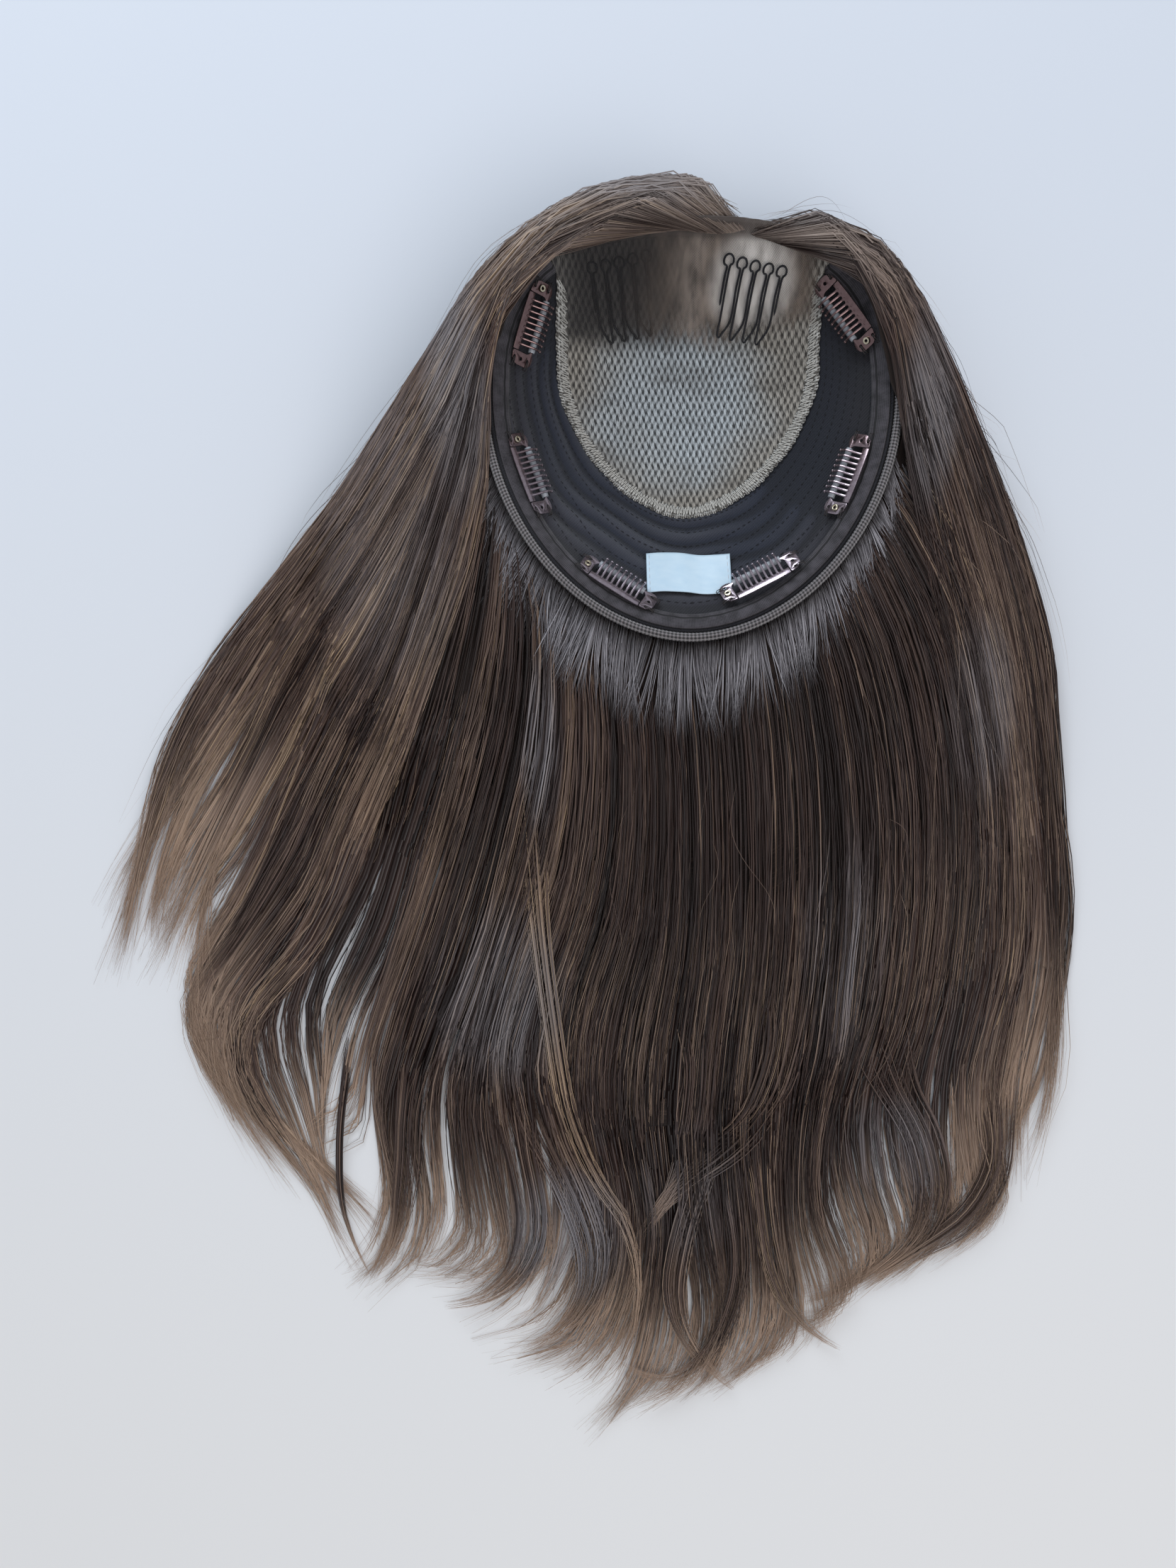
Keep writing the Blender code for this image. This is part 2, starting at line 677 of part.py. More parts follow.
def make_clip(name, place, metal, brass, silicone):
    make_clip_frame(f"clip_{name}_frame", place, metal)
    make_clip_comb(f"clip_{name}_comb", place, metal)
    half = CLIP_LENGTH / 2 - CLIP_PLATE - TUBE_END_GAP - CLIP_NOTCH
    tube = [(TUBE_BORE, -half), (TUBE_RADIUS, -half), (TUBE_RADIUS, half), (TUBE_BORE, half)]
    middle = Matrix.Translation((0, CLIP_BAR_MIDDLE, CLIP_SHEET / 2))
    add_turned(f"clip_{name}_tube", tube, 8, "X", place @ middle, silicone)
    low = CLIP_SHEET + GAP
    ring = [(EYELET_BORE, low), (EYELET_FLANGE, low), (EYELET_FLANGE, low + EYELET_HEIGHT),
            (EYELET_BORE, low + EYELET_HEIGHT)]
    hole_y = (CLIP_OUTER_EDGE + CLIP_INNER_EDGE) / 2
    seat = Matrix.Translation((-(CLIP_LENGTH - CLIP_PLATE) / 2, hole_y, 0))
    add_turned(f"clip_{name}_eyelet", ring, 8, "Z", place @ seat, brass)


def make_crown_hair(material):
    """The hair under the crown, which the cap lies in: flat below, a dish above."""
    sides, rings = 28, 4
    points = []
    for ring in range(rings):
        for i in range(sides):
            angle = 360 * i / sides
            reach = rim_radius(angle) - CROWN_INSET - SHELL_WALL - HAIR_GAP
            x, y = polar(angle, reach * (1 - ring / rings) ** CROWN_ROUNDNESS)
            points.append(on_cap(x, y, -SHELL_WALL - HAIR_GAP))
    points.append(on_cap(0.0, 0.0, -SHELL_WALL - HAIR_GAP))
    middle = len(points) - 1
    faces = grid_faces(rings, sides, closed=True)
    last = (rings - 1) * sides
    faces += [(last + i, last + (i + 1) % sides, middle) for i in range(sides)]
    ground = [Vector((p.x, p.y, 0)) for p in points[:sides]]
    start = len(points)
    points += ground
    faces += [(i, (i + 1) % sides, start + (i + 1) % sides, start + i) for i in range(sides)]
    faces.append(tuple(range(start, start + sides)))
    add_mesh("hair_crown", points, faces, material)


def hill_limit(point):
    """The highest that hair may lie at a place, under the short fringe round the rim."""
    x, y = point.x - CAP_X, point.y - CAP_Y
    out = math.hypot(x, y) - rim_radius(math.degrees(math.atan2(y, x)))
    return FRINGE_TOP - FRINGE_SLOPE * min(out, FRINGE_REACH + FRINGE_MARGIN) - 2 * GAP


def seam_end(shares):
    return Vector((shares[0] * HAIR_HALF_WIDTH, shares[1] * HAIR_HALF_LENGTH, 0))


def seam_point(angle, end, share):
    start = rim_point(angle, -HAIR_TUCK, 0.0)
    return start.lerp(seam_end(end), share)


def lock_wave(column):
    """0 on a valley between two locks and on both edges, and 1 on a lock's back."""
    return 0.0 if column % 2 == 0 else 1.0


def lock_taper(t):
    """How much of its height a lock keeps, thinning over the last stretch to its tip."""
    return min(1.0, mix(TAPER_END, 1.0, (1 - t) / TAPER_RUN))


def make_side_hair(name, rounds, falls, ends, seam_angle, seam_stop, material):
    """One side's hair: from the parting over the rim, round the cap and down to the tips."""
    outline = [(row[1], row[2]) for row in rounds] + [(row[1], row[2]) for row in falls]
    near = len(rounds) - 1
    far = near + len(falls)
    columns = 2 * SIDE_LOCKS + 1
    near_rows = 2 * near + 1
    far_rows = 2 * len(falls) - 1
    groove_lead = 3
    tops, walls, bottoms = [], [], []

    def outer(s):
        x, y = smooth_between(outline, s)
        return Vector((x * HAIR_HALF_WIDTH, y * HAIR_HALF_LENGTH, 0))

    def row_at(table, s):
        index = min(int(s), len(table) - 2)
        t = s - index
        return [mix(a, b, t) for a, b in zip(table[index], table[index + 1])]

    def fall_at(s):
        table = [(0.0, 0, 0, rounds[-1][-1])] + list(falls)
        return row_at(table, s - near)

    def path(s, share):
        if s <= near:
            inner = rim_point(row_at(rounds, s)[0], LIP_CLEAR, 0.0)
        else:
            start = rim_point(seam_angle, LIP_CLEAR, 0.0)
            along = fall_at(s)[0]
            inner = seam_point(seam_angle, seam_stop, along)
            inner = inner.lerp(start, max(0.0, 1 - along / SEAM_JOIN))
        return outer(s).lerp(inner, share)

    def stop_of(share):
        level = between(ends, share)[0] * HAIR_HALF_LENGTH
        s = near
        while s < far and path(s, share).y > level:
            s += 0.01
        return s

    def top_height(s, share, point, crest, wave):
        dome = 1 - (1 - share) ** HAIR_DOME
        height = mix(HAIR_EDGE, crest * CREST_HEIGHT, dome)
        fall = min(max((s - near + groove_lead) / (far - near + groove_lead), 0), 1)
        height *= 1 - LOCK_GROOVE * fall * (1 - wave)
        if s > UNDER_FRINGE:
            height = min(height, hill_limit(point))
        return max(height, HAIR_TIP)

    for row in range(near_rows):
        s = row / 2
        angle, _, _, lip_share, crest = row_at(rounds, s)
        line = []
        for column in range(columns):
            share = column / (columns - 1)
            point = path(s, share)
            point.z = top_height(s, share, point, crest, lock_wave(column))
            line.append(point)
        brow = line[-1]
        brow.z = crest * CREST_HEIGHT
        if brow.z > LIP_HEIGHT + LIP_NOSE / 2:
            lip = LIP_CLEAR - lip_share * LIP_REACH
            nose_height = min(LIP_HEIGHT + LIP_NOSE, mix(brow.z, LIP_HEIGHT, 0.5))
            wall = [rim_point(angle, min(lip + LIP_NOSE / 2, LIP_CLEAR), nose_height),
                    rim_point(angle, lip, LIP_HEIGHT),
                    rim_point(angle, LIP_CLEAR, LIP_HEIGHT - GAP),
                    rim_point(angle, LIP_CLEAR, LIP_FOOT)]
        else:
            if s > UNDER_FRINGE:
                brow.z = min(brow.z, hill_limit(brow))
            under = min(LIPLESS_FOOT, brow.z - GAP)
            wall = [rim_point(angle, LIP_CLEAR, mix(brow.z, under, 0.5)),
                    rim_point(angle, LIP_CLEAR, under),
                    rim_point(angle, LIP_CLEAR * 0.6, mix(under, HAIR_SHOULDER, 0.4)),
                    rim_point(angle, LIP_CLEAR * 0.2, mix(under, HAIR_SHOULDER, 0.8))]
        wall += [rim_point(angle, -HAIR_TUCK, HAIR_SHOULDER),
                 rim_point(angle, -HAIR_TUCK, 0.0)]
        tops.append(line)
        walls.append(wall)
        bottoms.append(Vector((line[0].x, line[0].y, 0)))

    stops = [stop_of(column / (columns - 1)) for column in range(columns)]
    for row in range(1, far_rows + 1):
        t = row / far_rows
        line = []
        for column in range(columns):
            share = column / (columns - 1)
            wave = lock_wave(column)
            edge = column in (0, columns - 1)
            stop = stops[column] - (0 if edge else SECTION_NOTCH * (1 - wave))
            s = mix(near, max(stop, near + 0.3), t)
            point = path(s, share)
            crest = fall_at(s)[-1]
            height = top_height(s, share, point, crest, wave) * lock_taper(t)
            point.z = max(height, HAIR_TIP)
            line.append(point)
        top = line[-1]
        wall = [Vector((top.x, top.y, top.z * (1 - i / 6))) for i in range(1, 7)]
        tops.append(line)
        walls.append(wall)
        bottoms.append(Vector((line[0].x, line[0].y, 0)))

    rows = len(tops)
    width = columns + 6
    points, faces = [], []
    for line, wall in zip(tops, walls):
        points += line + wall
    faces += grid_faces(rows, width)
    ground = len(points)
    points += bottoms
    for row in range(rows - 1):
        here, there = row * width, (row + 1) * width
        faces.append((here, there, ground + row + 1, ground + row))
    last = (rows - 1) * width
    tips = len(points)
    points += [Vector((p.x, p.y, 0)) for p in tops[-1][1:-1]]
    under = [ground + rows - 1] + list(range(tips, tips + columns - 2))
    for column in range(columns - 2):
        faces.append((last + column, last + column + 1, under[column + 1], under[column]))
    end_wall = [last + columns - 2] + list(range(last + columns - 1, last + width))
    faces.append(tuple(end_wall + [under[-1]]))
    faces.append(tuple([ground] + list(range(width))))
    inner_foot = [row * width + width - 1 for row in range(rows)]
    faces.append(tuple(list(range(ground, ground + rows)) + under[1:] + inner_foot[::-1]))
    add_mesh(name, points, faces, material)


def make_back_hair(material):
    """The hair that falls from the back of the rim, between the two seams."""
    columns = 2 * BACK_LOCKS + 1
    steps = 8
    left_stop, right_stop = seam_end(LEFT_SEAM_END), seam_end(RIGHT_SEAM_END)
    left_top = rim_point(LEFT_SEAM_ANGLE, -HAIR_TUCK, 0.0)
    right_top = rim_point(RIGHT_SEAM_ANGLE, -HAIR_TUCK, 0.0)

    def seam_x(top, stop, y):
        return mix(top.x, stop.x, (top.y - y) / (top.y - stop.y))

    def across(y, share):
        return mix(seam_x(left_top, left_stop, y) + SEAM_GAP,
                   seam_x(right_top, right_stop, y) - SEAM_GAP, share)

    points = []
    edge_gap = math.degrees(SEAM_GAP / CAP_BACK)
    fan_out = 2.5
    for column in range(columns):
        share = column / (columns - 1)
        wave = lock_wave(column)
        edge = column in (0, columns - 1)
        angle = mix(LEFT_SEAM_ANGLE + edge_gap, RIGHT_SEAM_ANGLE - edge_gap, share)
        foot = rim_point(angle, -HAIR_TUCK, 0.0)
        shoulder = rim_point(angle, -HAIR_TUCK, HAIR_SHOULDER)
        brow = rim_point(angle, LIP_CLEAR, 0.0)
        if edge:
            brow.x = across(brow.y, share)
        brow.z = min(BACK_FALL[0][1] * CREST_HEIGHT, hill_limit(brow))
        points += [foot, shoulder, brow]
        start = mix(left_top.y, right_top.y, share)
        stop = between(BACK_ENDS, share)[0] * HAIR_HALF_LENGTH
        stop += 0 if edge else LOCK_NOTCH * (1 - wave)
        for step in range(1, steps + 1):
            t = step / steps
            y = mix(brow.y, stop, t)
            spread = across(y, share)
            x = spread if edge else mix(brow.x, spread, min(1.0, t * fan_out))
            point = Vector((x, y, 0))
            down = (start - y) / (2 * HAIR_HALF_LENGTH)
            height = between(BACK_FALL, down)[0] * CREST_HEIGHT
            height *= (1 - LOCK_GROOVE * t * (1 - wave)) * lock_taper(t)
            point.z = max(min(height, hill_limit(point)), HAIR_TIP)
            points.append(point)
    rows = steps + 3
    faces = grid_faces(columns, rows)
    tips = len(points)
    points += [Vector((points[c * rows + rows - 1].x, points[c * rows + rows - 1].y, 0))
               for c in range(columns)]
    for column in range(columns - 1):
        here, there = column * rows + rows - 1, (column + 1) * rows + rows - 1
        faces.append((here, there, tips + column + 1, tips + column))
    faces.append(tuple(list(range(rows)) + [tips]))
    last = (columns - 1) * rows
    faces.append(tuple(list(range(last, last + rows)) + [tips + columns - 1]))
    feet = [column * rows for column in range(columns)]
    faces.append(tuple(feet + list(range(tips, tips + columns))[::-1]))
    add_mesh("hair_back", points, faces, material)


def make_rim_fringe(material):
    """The short hair that fans out from under the binding round the lower half."""
    steps = 2 * FRINGE_LOCKS
    points = []
    for i in range(steps + 1):
        angle = mix(FRINGE_START, FRINGE_STOP, i / steps)
        ridge = lock_wave(i)
        swell = 0.72 + 0.28 * math.sin(i * 2.4) ** 2
        reach = FRINGE_REACH * swell * (1.0 if ridge else FRINGE_VALLEY)
        first = LIP_CLEAR - 2 * GAP
        for out in (first, mix(first, reach, 0.5), reach):
            height = FRINGE_TOP - FRINGE_SLOPE * out
            points.append(rim_point(angle, out, height))
    faces = grid_faces(steps + 1, 3)
    add_mesh("hair_rim_fringe", points, faces, material, FRINGE_WALL, 1.0)


clear_scene()
PARTS = make_collection("hair_topper")

fabric = finish("stretch_fabric", (0.028, 0.025, 0.032), 0.9)
silk = finish("silk_mesh", (0.34, 0.33, 0.32), 0.8)
ribbon = finish("scalloped_ribbon", (0.46, 0.42, 0.36), 0.85)
lace = finish("fine_lace", (0.30, 0.25, 0.22), 0.6)
tape = finish("rim_tape", (0.075, 0.065, 0.068), 0.9)
braid = finish("braided_binding", (0.09, 0.075, 0.075), 0.8)
satin = finish("label_satin", (0.80, 0.86, 0.92), 0.45)
wire = finish("comb_wire", (0.012, 0.012, 0.016), 0.35)
metal = finish("clip_enamel", (0.17, 0.10, 0.10), 0.35, 0.6)
brass = finish("eyelet_brass", (0.62, 0.52, 0.36), 0.25, 1.0)
silicone = finish("silicone_tube", (0.75, 0.76, 0.78), 0.15, 0.0, 0.6)
hair = finish("hair", (0.055, 0.035, 0.026), 0.45)
short_hair = finish("short_hair", (0.075, 0.060, 0.055), 0.45)

make_cap_shell(fabric)
make_lace_top(silk)
make_strip("inset_border", lambda a: inset_radius(a) - BORDER_WIDTH / 2, border_outer,
           GAP + LACE_SAG, BORDER_WALL, ribbon)
make_strip("rim_tape", tape_inner, lambda a: rim_radius(a) - TAPE_EDGE, GAP, TAPE_WALL, tape)
band_top = make_front_band(lace)
make_binding(braid)
make_label(satin)
right_lift = band_top + GAP + BAND_SAG + WIRE_RADIUS
left_lift = 2 * GAP + LACE_SAG + WIRE_RADIUS
add_wire("wire_comb_right", comb_wire(RIGHT_COMB_X, 1, right_lift), WIRE_RADIUS, 1, wire)
add_wire("wire_comb_left", comb_wire(LEFT_COMB_X, -1, left_lift), WIRE_RADIUS, 1, wire)
for clip_name, clip_angle, inset_share, clip_turn, over_label in CLIPS:
    place = clip_frame(clip_angle, CLIP_INSET * inset_share, clip_turn, over_label)
    make_clip(clip_name, place, metal, brass, silicone)
make_crown_hair(hair)
make_side_hair("hair_left", LEFT_ROUND, LEFT_FALL, LEFT_ENDS, LEFT_SEAM_ANGLE,
               LEFT_SEAM_END, hair)
make_side_hair("hair_right", RIGHT_ROUND, RIGHT_FALL, RIGHT_ENDS, RIGHT_SEAM_ANGLE - 360,
               RIGHT_SEAM_END, hair)
make_back_hair(hair)
make_rim_fringe(short_hair)
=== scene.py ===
# %% [markdown]
# # A hair topper, seen into its cap
# The topper lies on its crown, so the camera looks down into the hollow cap, and the long
# hair spreads out round it. The lesson dresses a plain frame of solids: cloth, metal and
# some thousands of strands.

# %% Load the frame
import json
import math

import bmesh
import bpy
import numpy as np
from mathutils import Matrix, Vector
from mathutils.bvhtree import BVHTree


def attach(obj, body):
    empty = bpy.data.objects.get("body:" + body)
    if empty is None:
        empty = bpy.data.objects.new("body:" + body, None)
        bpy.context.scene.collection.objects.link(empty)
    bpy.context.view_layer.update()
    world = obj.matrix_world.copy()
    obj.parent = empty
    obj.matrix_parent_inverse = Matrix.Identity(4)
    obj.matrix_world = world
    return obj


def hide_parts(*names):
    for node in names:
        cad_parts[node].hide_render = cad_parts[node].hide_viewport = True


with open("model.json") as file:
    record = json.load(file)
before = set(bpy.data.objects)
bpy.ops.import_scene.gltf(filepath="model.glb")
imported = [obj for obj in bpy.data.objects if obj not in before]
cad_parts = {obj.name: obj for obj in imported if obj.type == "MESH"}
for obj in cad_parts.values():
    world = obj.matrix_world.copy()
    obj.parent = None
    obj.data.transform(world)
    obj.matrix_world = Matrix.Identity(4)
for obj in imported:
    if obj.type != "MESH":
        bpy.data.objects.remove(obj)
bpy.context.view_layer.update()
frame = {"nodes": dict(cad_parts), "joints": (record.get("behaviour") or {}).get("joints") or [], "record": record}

MM = 0.001
draws = np.random.default_rng(56)

# %% [markdown]
# ## Camera, floor and light
# The photograph is taken straight from above. A camera needs only its height and its lens:
# the tall side of the picture spans 634 mm of floor from 600 mm up. One big soft window
# stands beyond the hairline, so the upper rim throws its shadow into the cap.

# %% Camera, floor and lights
CAMERA_PLACE = (-0.0025, 0.0095, 0.600)
FLOOR_SPAN = 0.6337
SENSOR = 36.0


def add_camera():
    lens = bpy.data.cameras.new("overhead")
    lens.sensor_width = SENSOR
    lens.lens = SENSOR * CAMERA_PLACE[2] / FLOOR_SPAN
    lens.clip_start = 0.01
    made = bpy.data.objects.new("overhead", lens)
    made.location = CAMERA_PLACE
    bpy.context.scene.collection.objects.link(made)
    bpy.context.scene.camera = made


def add_window(name, place, target, size, power, colour):
    light = bpy.data.lights.new(name, "AREA")
    light.shape = "SQUARE"
    light.size = size
    light.energy = power
    light.color = colour
    made = bpy.data.objects.new(name, light)
    made.location = place
    aim = Vector(target) - Vector(place)
    made.rotation_euler = aim.to_track_quat("-Z", "Y").to_euler()
    bpy.context.scene.collection.objects.link(made)


def add_sky(colour, strength):
    world = bpy.data.worlds.new("sky")
    bpy.context.scene.world = world
    world.use_nodes = True
    background = world.node_tree.nodes["Background"]
    background.inputs["Color"].default_value = (*colour, 1.0)
    background.inputs["Strength"].default_value = strength


add_camera()
add_window("window", (-0.55, 1.45, 0.80), (0.02, 0.06, 0.0), 0.90, 16.0, (0.86, 0.94, 1.0))
add_window("room", (0.65, -0.7, 1.7), (0.1, -0.1, 0.0), 1.5, 13.0, (1.0, 0.96, 0.93))
add_sky((0.89, 0.94, 1.0), 0.51)
bpy.context.scene.view_settings.view_transform = "Standard"

# %% [markdown]
# ## Helpers for finishes
# A finish is a Principled shader whose colour and bump come from a few nodes. These short
# helpers wire one node each, and a value knows how to add and multiply, so that a finish
# below reads like a formula.

# %% Helpers for finishes


def new_finish(name, colour, roughness, metallic=0.0, **more):
    made = bpy.data.materials.new(name)
    made.use_nodes = True
    shader = made.node_tree.nodes["Principled BSDF"]
    shader.inputs["Base Color"].default_value = (*colour, 1.0)
    shader.inputs["Roughness"].default_value = roughness
    shader.inputs["Metallic"].default_value = metallic
    for socket, value in more.items():
        shader.inputs[socket.replace("_", " ")].default_value = value
    return made


class Value:
    """A number or colour on its way through a finish, so that formulas become nodes."""

    def __init__(self, tree, socket):
        self.tree, self.socket = tree, socket

    def __add__(self, other):
        return calc("ADD", self, other)

    def __sub__(self, other):
        return calc("SUBTRACT", self, other)

    def __rsub__(self, other):
        return calc("SUBTRACT", other, self)

    def __mul__(self, other):
        return calc("MULTIPLY", self, other)

    def __truediv__(self, other):
        return calc("DIVIDE", self, other)


def feed(socket, value):
    if isinstance(value, Value):
        value.tree.links.new(value.socket, socket)
    else:
        socket.default_value = (*value, 1.0) if isinstance(value, tuple) else value


def add_node(kind, *values):
    """A node beside the first value, with the values on its first sockets."""
    tree = next(value.tree for value in values if isinstance(value, Value))
    node = tree.nodes.new(kind)
    for socket, value in zip(node.inputs, values):
        feed(socket, value)
    return tree, node


def calc(operation, *values):
    tree, node = add_node("ShaderNodeMath", *values)
    node.operation = operation
    return Value(tree, node.outputs[0])


def sine(value):
    return calc("SINE", value)


def cosine(value):
    return calc("COSINE", value)


def coordinates(material, kind="Object"):
    """The three numbers of a place on the piece."""
    tree = material.node_tree
    source = tree.nodes.new("ShaderNodeTexCoord")
    split = tree.nodes.new("ShaderNodeSeparateXYZ")
    tree.links.new(source.outputs[kind], split.inputs[0])
    return [Value(tree, socket) for socket in split.outputs]


def noise(place, scale, detail=2.0):
    """Soft random clouds over a place of two or three numbers."""
    tree, joined = add_node("ShaderNodeCombineXYZ", *place)
    node = tree.nodes.new("ShaderNodeTexNoise")
    tree.links.new(joined.outputs[0], node.inputs["Vector"])
    node.inputs["Scale"].default_value = scale
    node.inputs["Detail"].default_value = detail
    return Value(tree, node.outputs["Fac"])


def ramp(share, *stops):
    tree, node = add_node("ShaderNodeValToRGB", share)
    marks = node.color_ramp.elements
    while len(marks) < len(stops):
        marks.new(0.5)
    for mark, (place, colour) in zip(marks, stops):
        mark.position = place
        mark.color = (*colour, 1.0)
    return Value(tree, node.outputs[0])


def blend(share, low, high):
    tree, node = add_node("ShaderNodeMix", share)
    node.data_type = "RGBA"
    feed(node.inputs[6], low)
    feed(node.inputs[7], high)
    return Value(tree, node.outputs[2])


def soft_step(value, low, high):
    tree, node = add_node("ShaderNodeMapRange", value)
    node.interpolation_type = "SMOOTHSTEP"
    node.inputs["From Min"].default_value = low
    node.inputs["From Max"].default_value = high
    return Value(tree, node.outputs["Result"])


def far_from(x, y, middle, half):
    """Squared distance from a middle, where 1 lies on the ellipse with these half sizes."""
    rel_x = (x - middle[0]) / half[0]
    rel_y = (y - middle[1]) / half[1]
    return rel_x * rel_x + rel_y * rel_y


def paint(material, colour, height=None, strength=0.5, depth=0.0005, roughness=None):
    """Joins colour, bump and roughness to a finish."""
    tree = material.node_tree
    shader = tree.nodes["Principled BSDF"]
    feed(shader.inputs["Base Color"], colour)
    if roughness is not None:
        feed(shader.inputs["Roughness"], roughness)
    if height is not None:
        bump = tree.nodes.new("ShaderNodeBump")
        bump.inputs["Strength"].default_value = strength
        bump.inputs["Distance"].default_value = depth
        feed(bump.inputs["Height"], height)
        tree.links.new(bump.outputs[0], shader.inputs["Normal"])
    return material


def flecked(material, place, scale, low, high, strength, depth):
    """A finish with small flecks in its colour and bump."""
    flecks = noise(place, scale)
    return paint(material, blend(flecks, low, high), flecks, strength, depth)


# %% [markdown]
# ## The floor
# A plain pale board. It is only a stage and isn't part of the topper.

# %% The floor


def make_floor():
    work = bmesh.new()
    bmesh.ops.create_grid(work, x_segments=1, y_segments=1, size=3.0)
    mesh = bpy.data.meshes.new("floor")
    work.to_mesh(mesh)
    work.free()
    floor = bpy.data.objects.new("floor", mesh)
    bpy.context.scene.collection.objects.link(floor)
    finish = new_finish("floor_board", (0.80, 0.80, 0.83), 0.75)
    # Painted light: the board is painted cooler and a little darker towards the window side, a painted tint of the
    # window's cool light.
    painted_window_tint = soft_step(coordinates(finish)[1], -0.35, 0.35)
    mesh.materials.append(paint(finish, blend(painted_window_tint, (0.80, 0.79, 0.79), (0.70, 0.74, 0.82))))


make_floor()

# %% [markdown]
# ## The bowl of the cap
# The cap is an oval bowl with its hollow side up. Its rim is a superellipse, rounder at the
# front than at the back, and its depth grows from the crown with a power of the distance.
# Every cloth piece is laid on this one formula, so the pieces can't drift apart.

# %% The bowl of the cap
HAIR_HALF_WIDTH = 0.1905
HAIR_HALF_LENGTH = 0.242
CAP_X = HAIR_HALF_WIDTH * 0.189
CAP_Y = HAIR_HALF_LENGTH - 0.0215 - 0.066
CAP_HALF_WIDTH = 0.075
CAP_BACK = 0.088
CAP_FRONT = 0.066
CROWN_HEIGHT = 0.010
CAP_DEPTH = 0.037
RIM_HEIGHT = CROWN_HEIGHT + CAP_DEPTH
SHELL_END_ANGLE = 44
INSET_HALF_WIDTH = 0.049
INSET_SHOULDER = 0.015
INSET_BACK = 0.039
COMPASS = np.arange(0, 361, 0.5)


def rim_table():
    across = np.abs(np.cos(np.radians(COMPASS)))
    along = np.sin(np.radians(COMPASS))
    reach = np.where(along > 0, CAP_FRONT, CAP_BACK)
    power = np.where(along > 0, 2.6, 1.9)
    total = (across / CAP_HALF_WIDTH) ** power + (np.abs(along) / reach) ** power
    return total ** (-1 / power)


def inset_table():
    """The silk top's edge: straight at the front, and a rounded U at the back."""
    radii = np.linspace(0.02, 0.09, 1500)
    found = []
    for angle in COMPASS:
        across = abs(math.cos(math.radians(angle)))
        along = math.sin(math.radians(angle))
        straight = INSET_HALF_WIDTH / max(across, 1e-6)
        if straight * along > INSET_SHOULDER:
            found.append(min(straight, 0.2))
            continue
        x = radii * across / INSET_HALF_WIDTH
        y = np.maximum(INSET_SHOULDER - radii * along, 0) / (INSET_BACK + INSET_SHOULDER)
        inside = x ** 1.7 + y ** 1.7 <= 1
        found.append(min(radii[inside].max(), straight))
    return np.array(found)


RIM = rim_table()
INSET = inset_table()


def rim_radius(angle):
    return np.interp(np.mod(angle, 360), COMPASS, RIM)


def inset_radius(angle):
    return np.interp(np.mod(angle, 360), COMPASS, INSET)


def bowl_height(x, y):
    angle = np.degrees(np.arctan2(y, x))
    return CROWN_HEIGHT + CAP_DEPTH * (np.hypot(x, y) / rim_radius(angle)) ** 2.2


def on_cap(x, y, lift=0.0):
    """Points over the bowl's inner face, given from the cap's middle."""
    x, y = np.asarray(x, float), np.asarray(y, float)
    step = 0.0005
    slope_x = (bowl_height(x + step, y) - bowl_height(x - step, y)) / (2 * step)
    slope_y = (bowl_height(x, y + step) - bowl_height(x, y - step)) / (2 * step)
    normal = np.stack([-slope_x, -slope_y, np.ones_like(x)], -1)
    normal /= np.linalg.norm(normal, axis=-1, keepdims=True)
    base = np.stack([CAP_X + x, CAP_Y + y, bowl_height(x, y)], -1)
    return base + normal * np.asarray(lift, float)[..., None]


def rim_point(angle, out, height):
    radius = rim_radius(angle) + out
    turn = np.radians(angle)
    x = CAP_X + radius * np.cos(turn)
    y = CAP_Y + radius * np.sin(turn)
    return np.stack(np.broadcast_arrays(x, y, height), -1)


print("rim", round(2 * CAP_HALF_WIDTH / MM), "by", round((CAP_BACK + CAP_FRONT) / MM), "mm")

# %% [markdown]
# ## Bending a flat grid into place
# Most cloth here starts as a flat grid from `create_grid`, with u and v running from 0 to 1.
# A function turns u and v into places, and u and v stay behind as the UV map, so a weave or
# a row of stitches follows the cloth wherever it bends. Solidify gives the wall.

# %% Bending a flat grid into place


def put_in_scene(name, mesh, material, body="root"):
    mesh.materials.append(material)
    made = bpy.data.objects.new(name, mesh)
    bpy.context.scene.collection.objects.link(made)
    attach(made, body)
    return made


def shaped_grid(name, columns, rows, place, material, wall=0.0, side=-1.0, loop=False, caps=True):
    work = bmesh.new()
    bmesh.ops.create_grid(work, x_segments=columns, y_segments=rows, size=0.5)
    flat = np.array([vert.co for vert in work.verts])[:, :2] + 0.5
    mesh = bpy.data.meshes.new(name)
    work.to_mesh(mesh)
    work.free()
    corners = np.empty(len(mesh.loops), np.int32)
    mesh.loops.foreach_get("vertex_index", corners)
    mesh.uv_layers.new(name="UVMap").data.foreach_set("uv", flat[corners].ravel())
    points = place(flat[:, 0], flat[:, 1])
    mesh.vertices.foreach_set("co", np.asarray(points, np.float32).ravel())
    if loop:
        work = bmesh.new()
        work.from_mesh(mesh)
        bmesh.ops.remove_doubles(work, verts=work.verts, dist=1e-6)
        if caps:
            bmesh.ops.holes_fill(work, edges=work.edges)
        bmesh.ops.recalc_face_normals(work, faces=work.faces)
        work.to_mesh(mesh)
        work.free()
    mesh.shade_smooth()
    made = put_in_scene(name, mesh, material)
    if wall:
        shell = made.modifiers.new("wall", "SOLIDIFY")
        shell.thickness = wall
        shell.offset = side
    return made


def sheet_area(piece):
    """Half of the surface of a thin wall, in square metres."""
    graph = bpy.context.evaluated_depsgraph_get()
    evaluated = piece.evaluated_get(graph)
    mesh = evaluated.to_mesh()
    areas = np.empty(len(mesh.polygons))
    mesh.polygons.foreach_get("area", areas)
    evaluated.to_mesh_clear()
    return float(areas.sum()) / 2
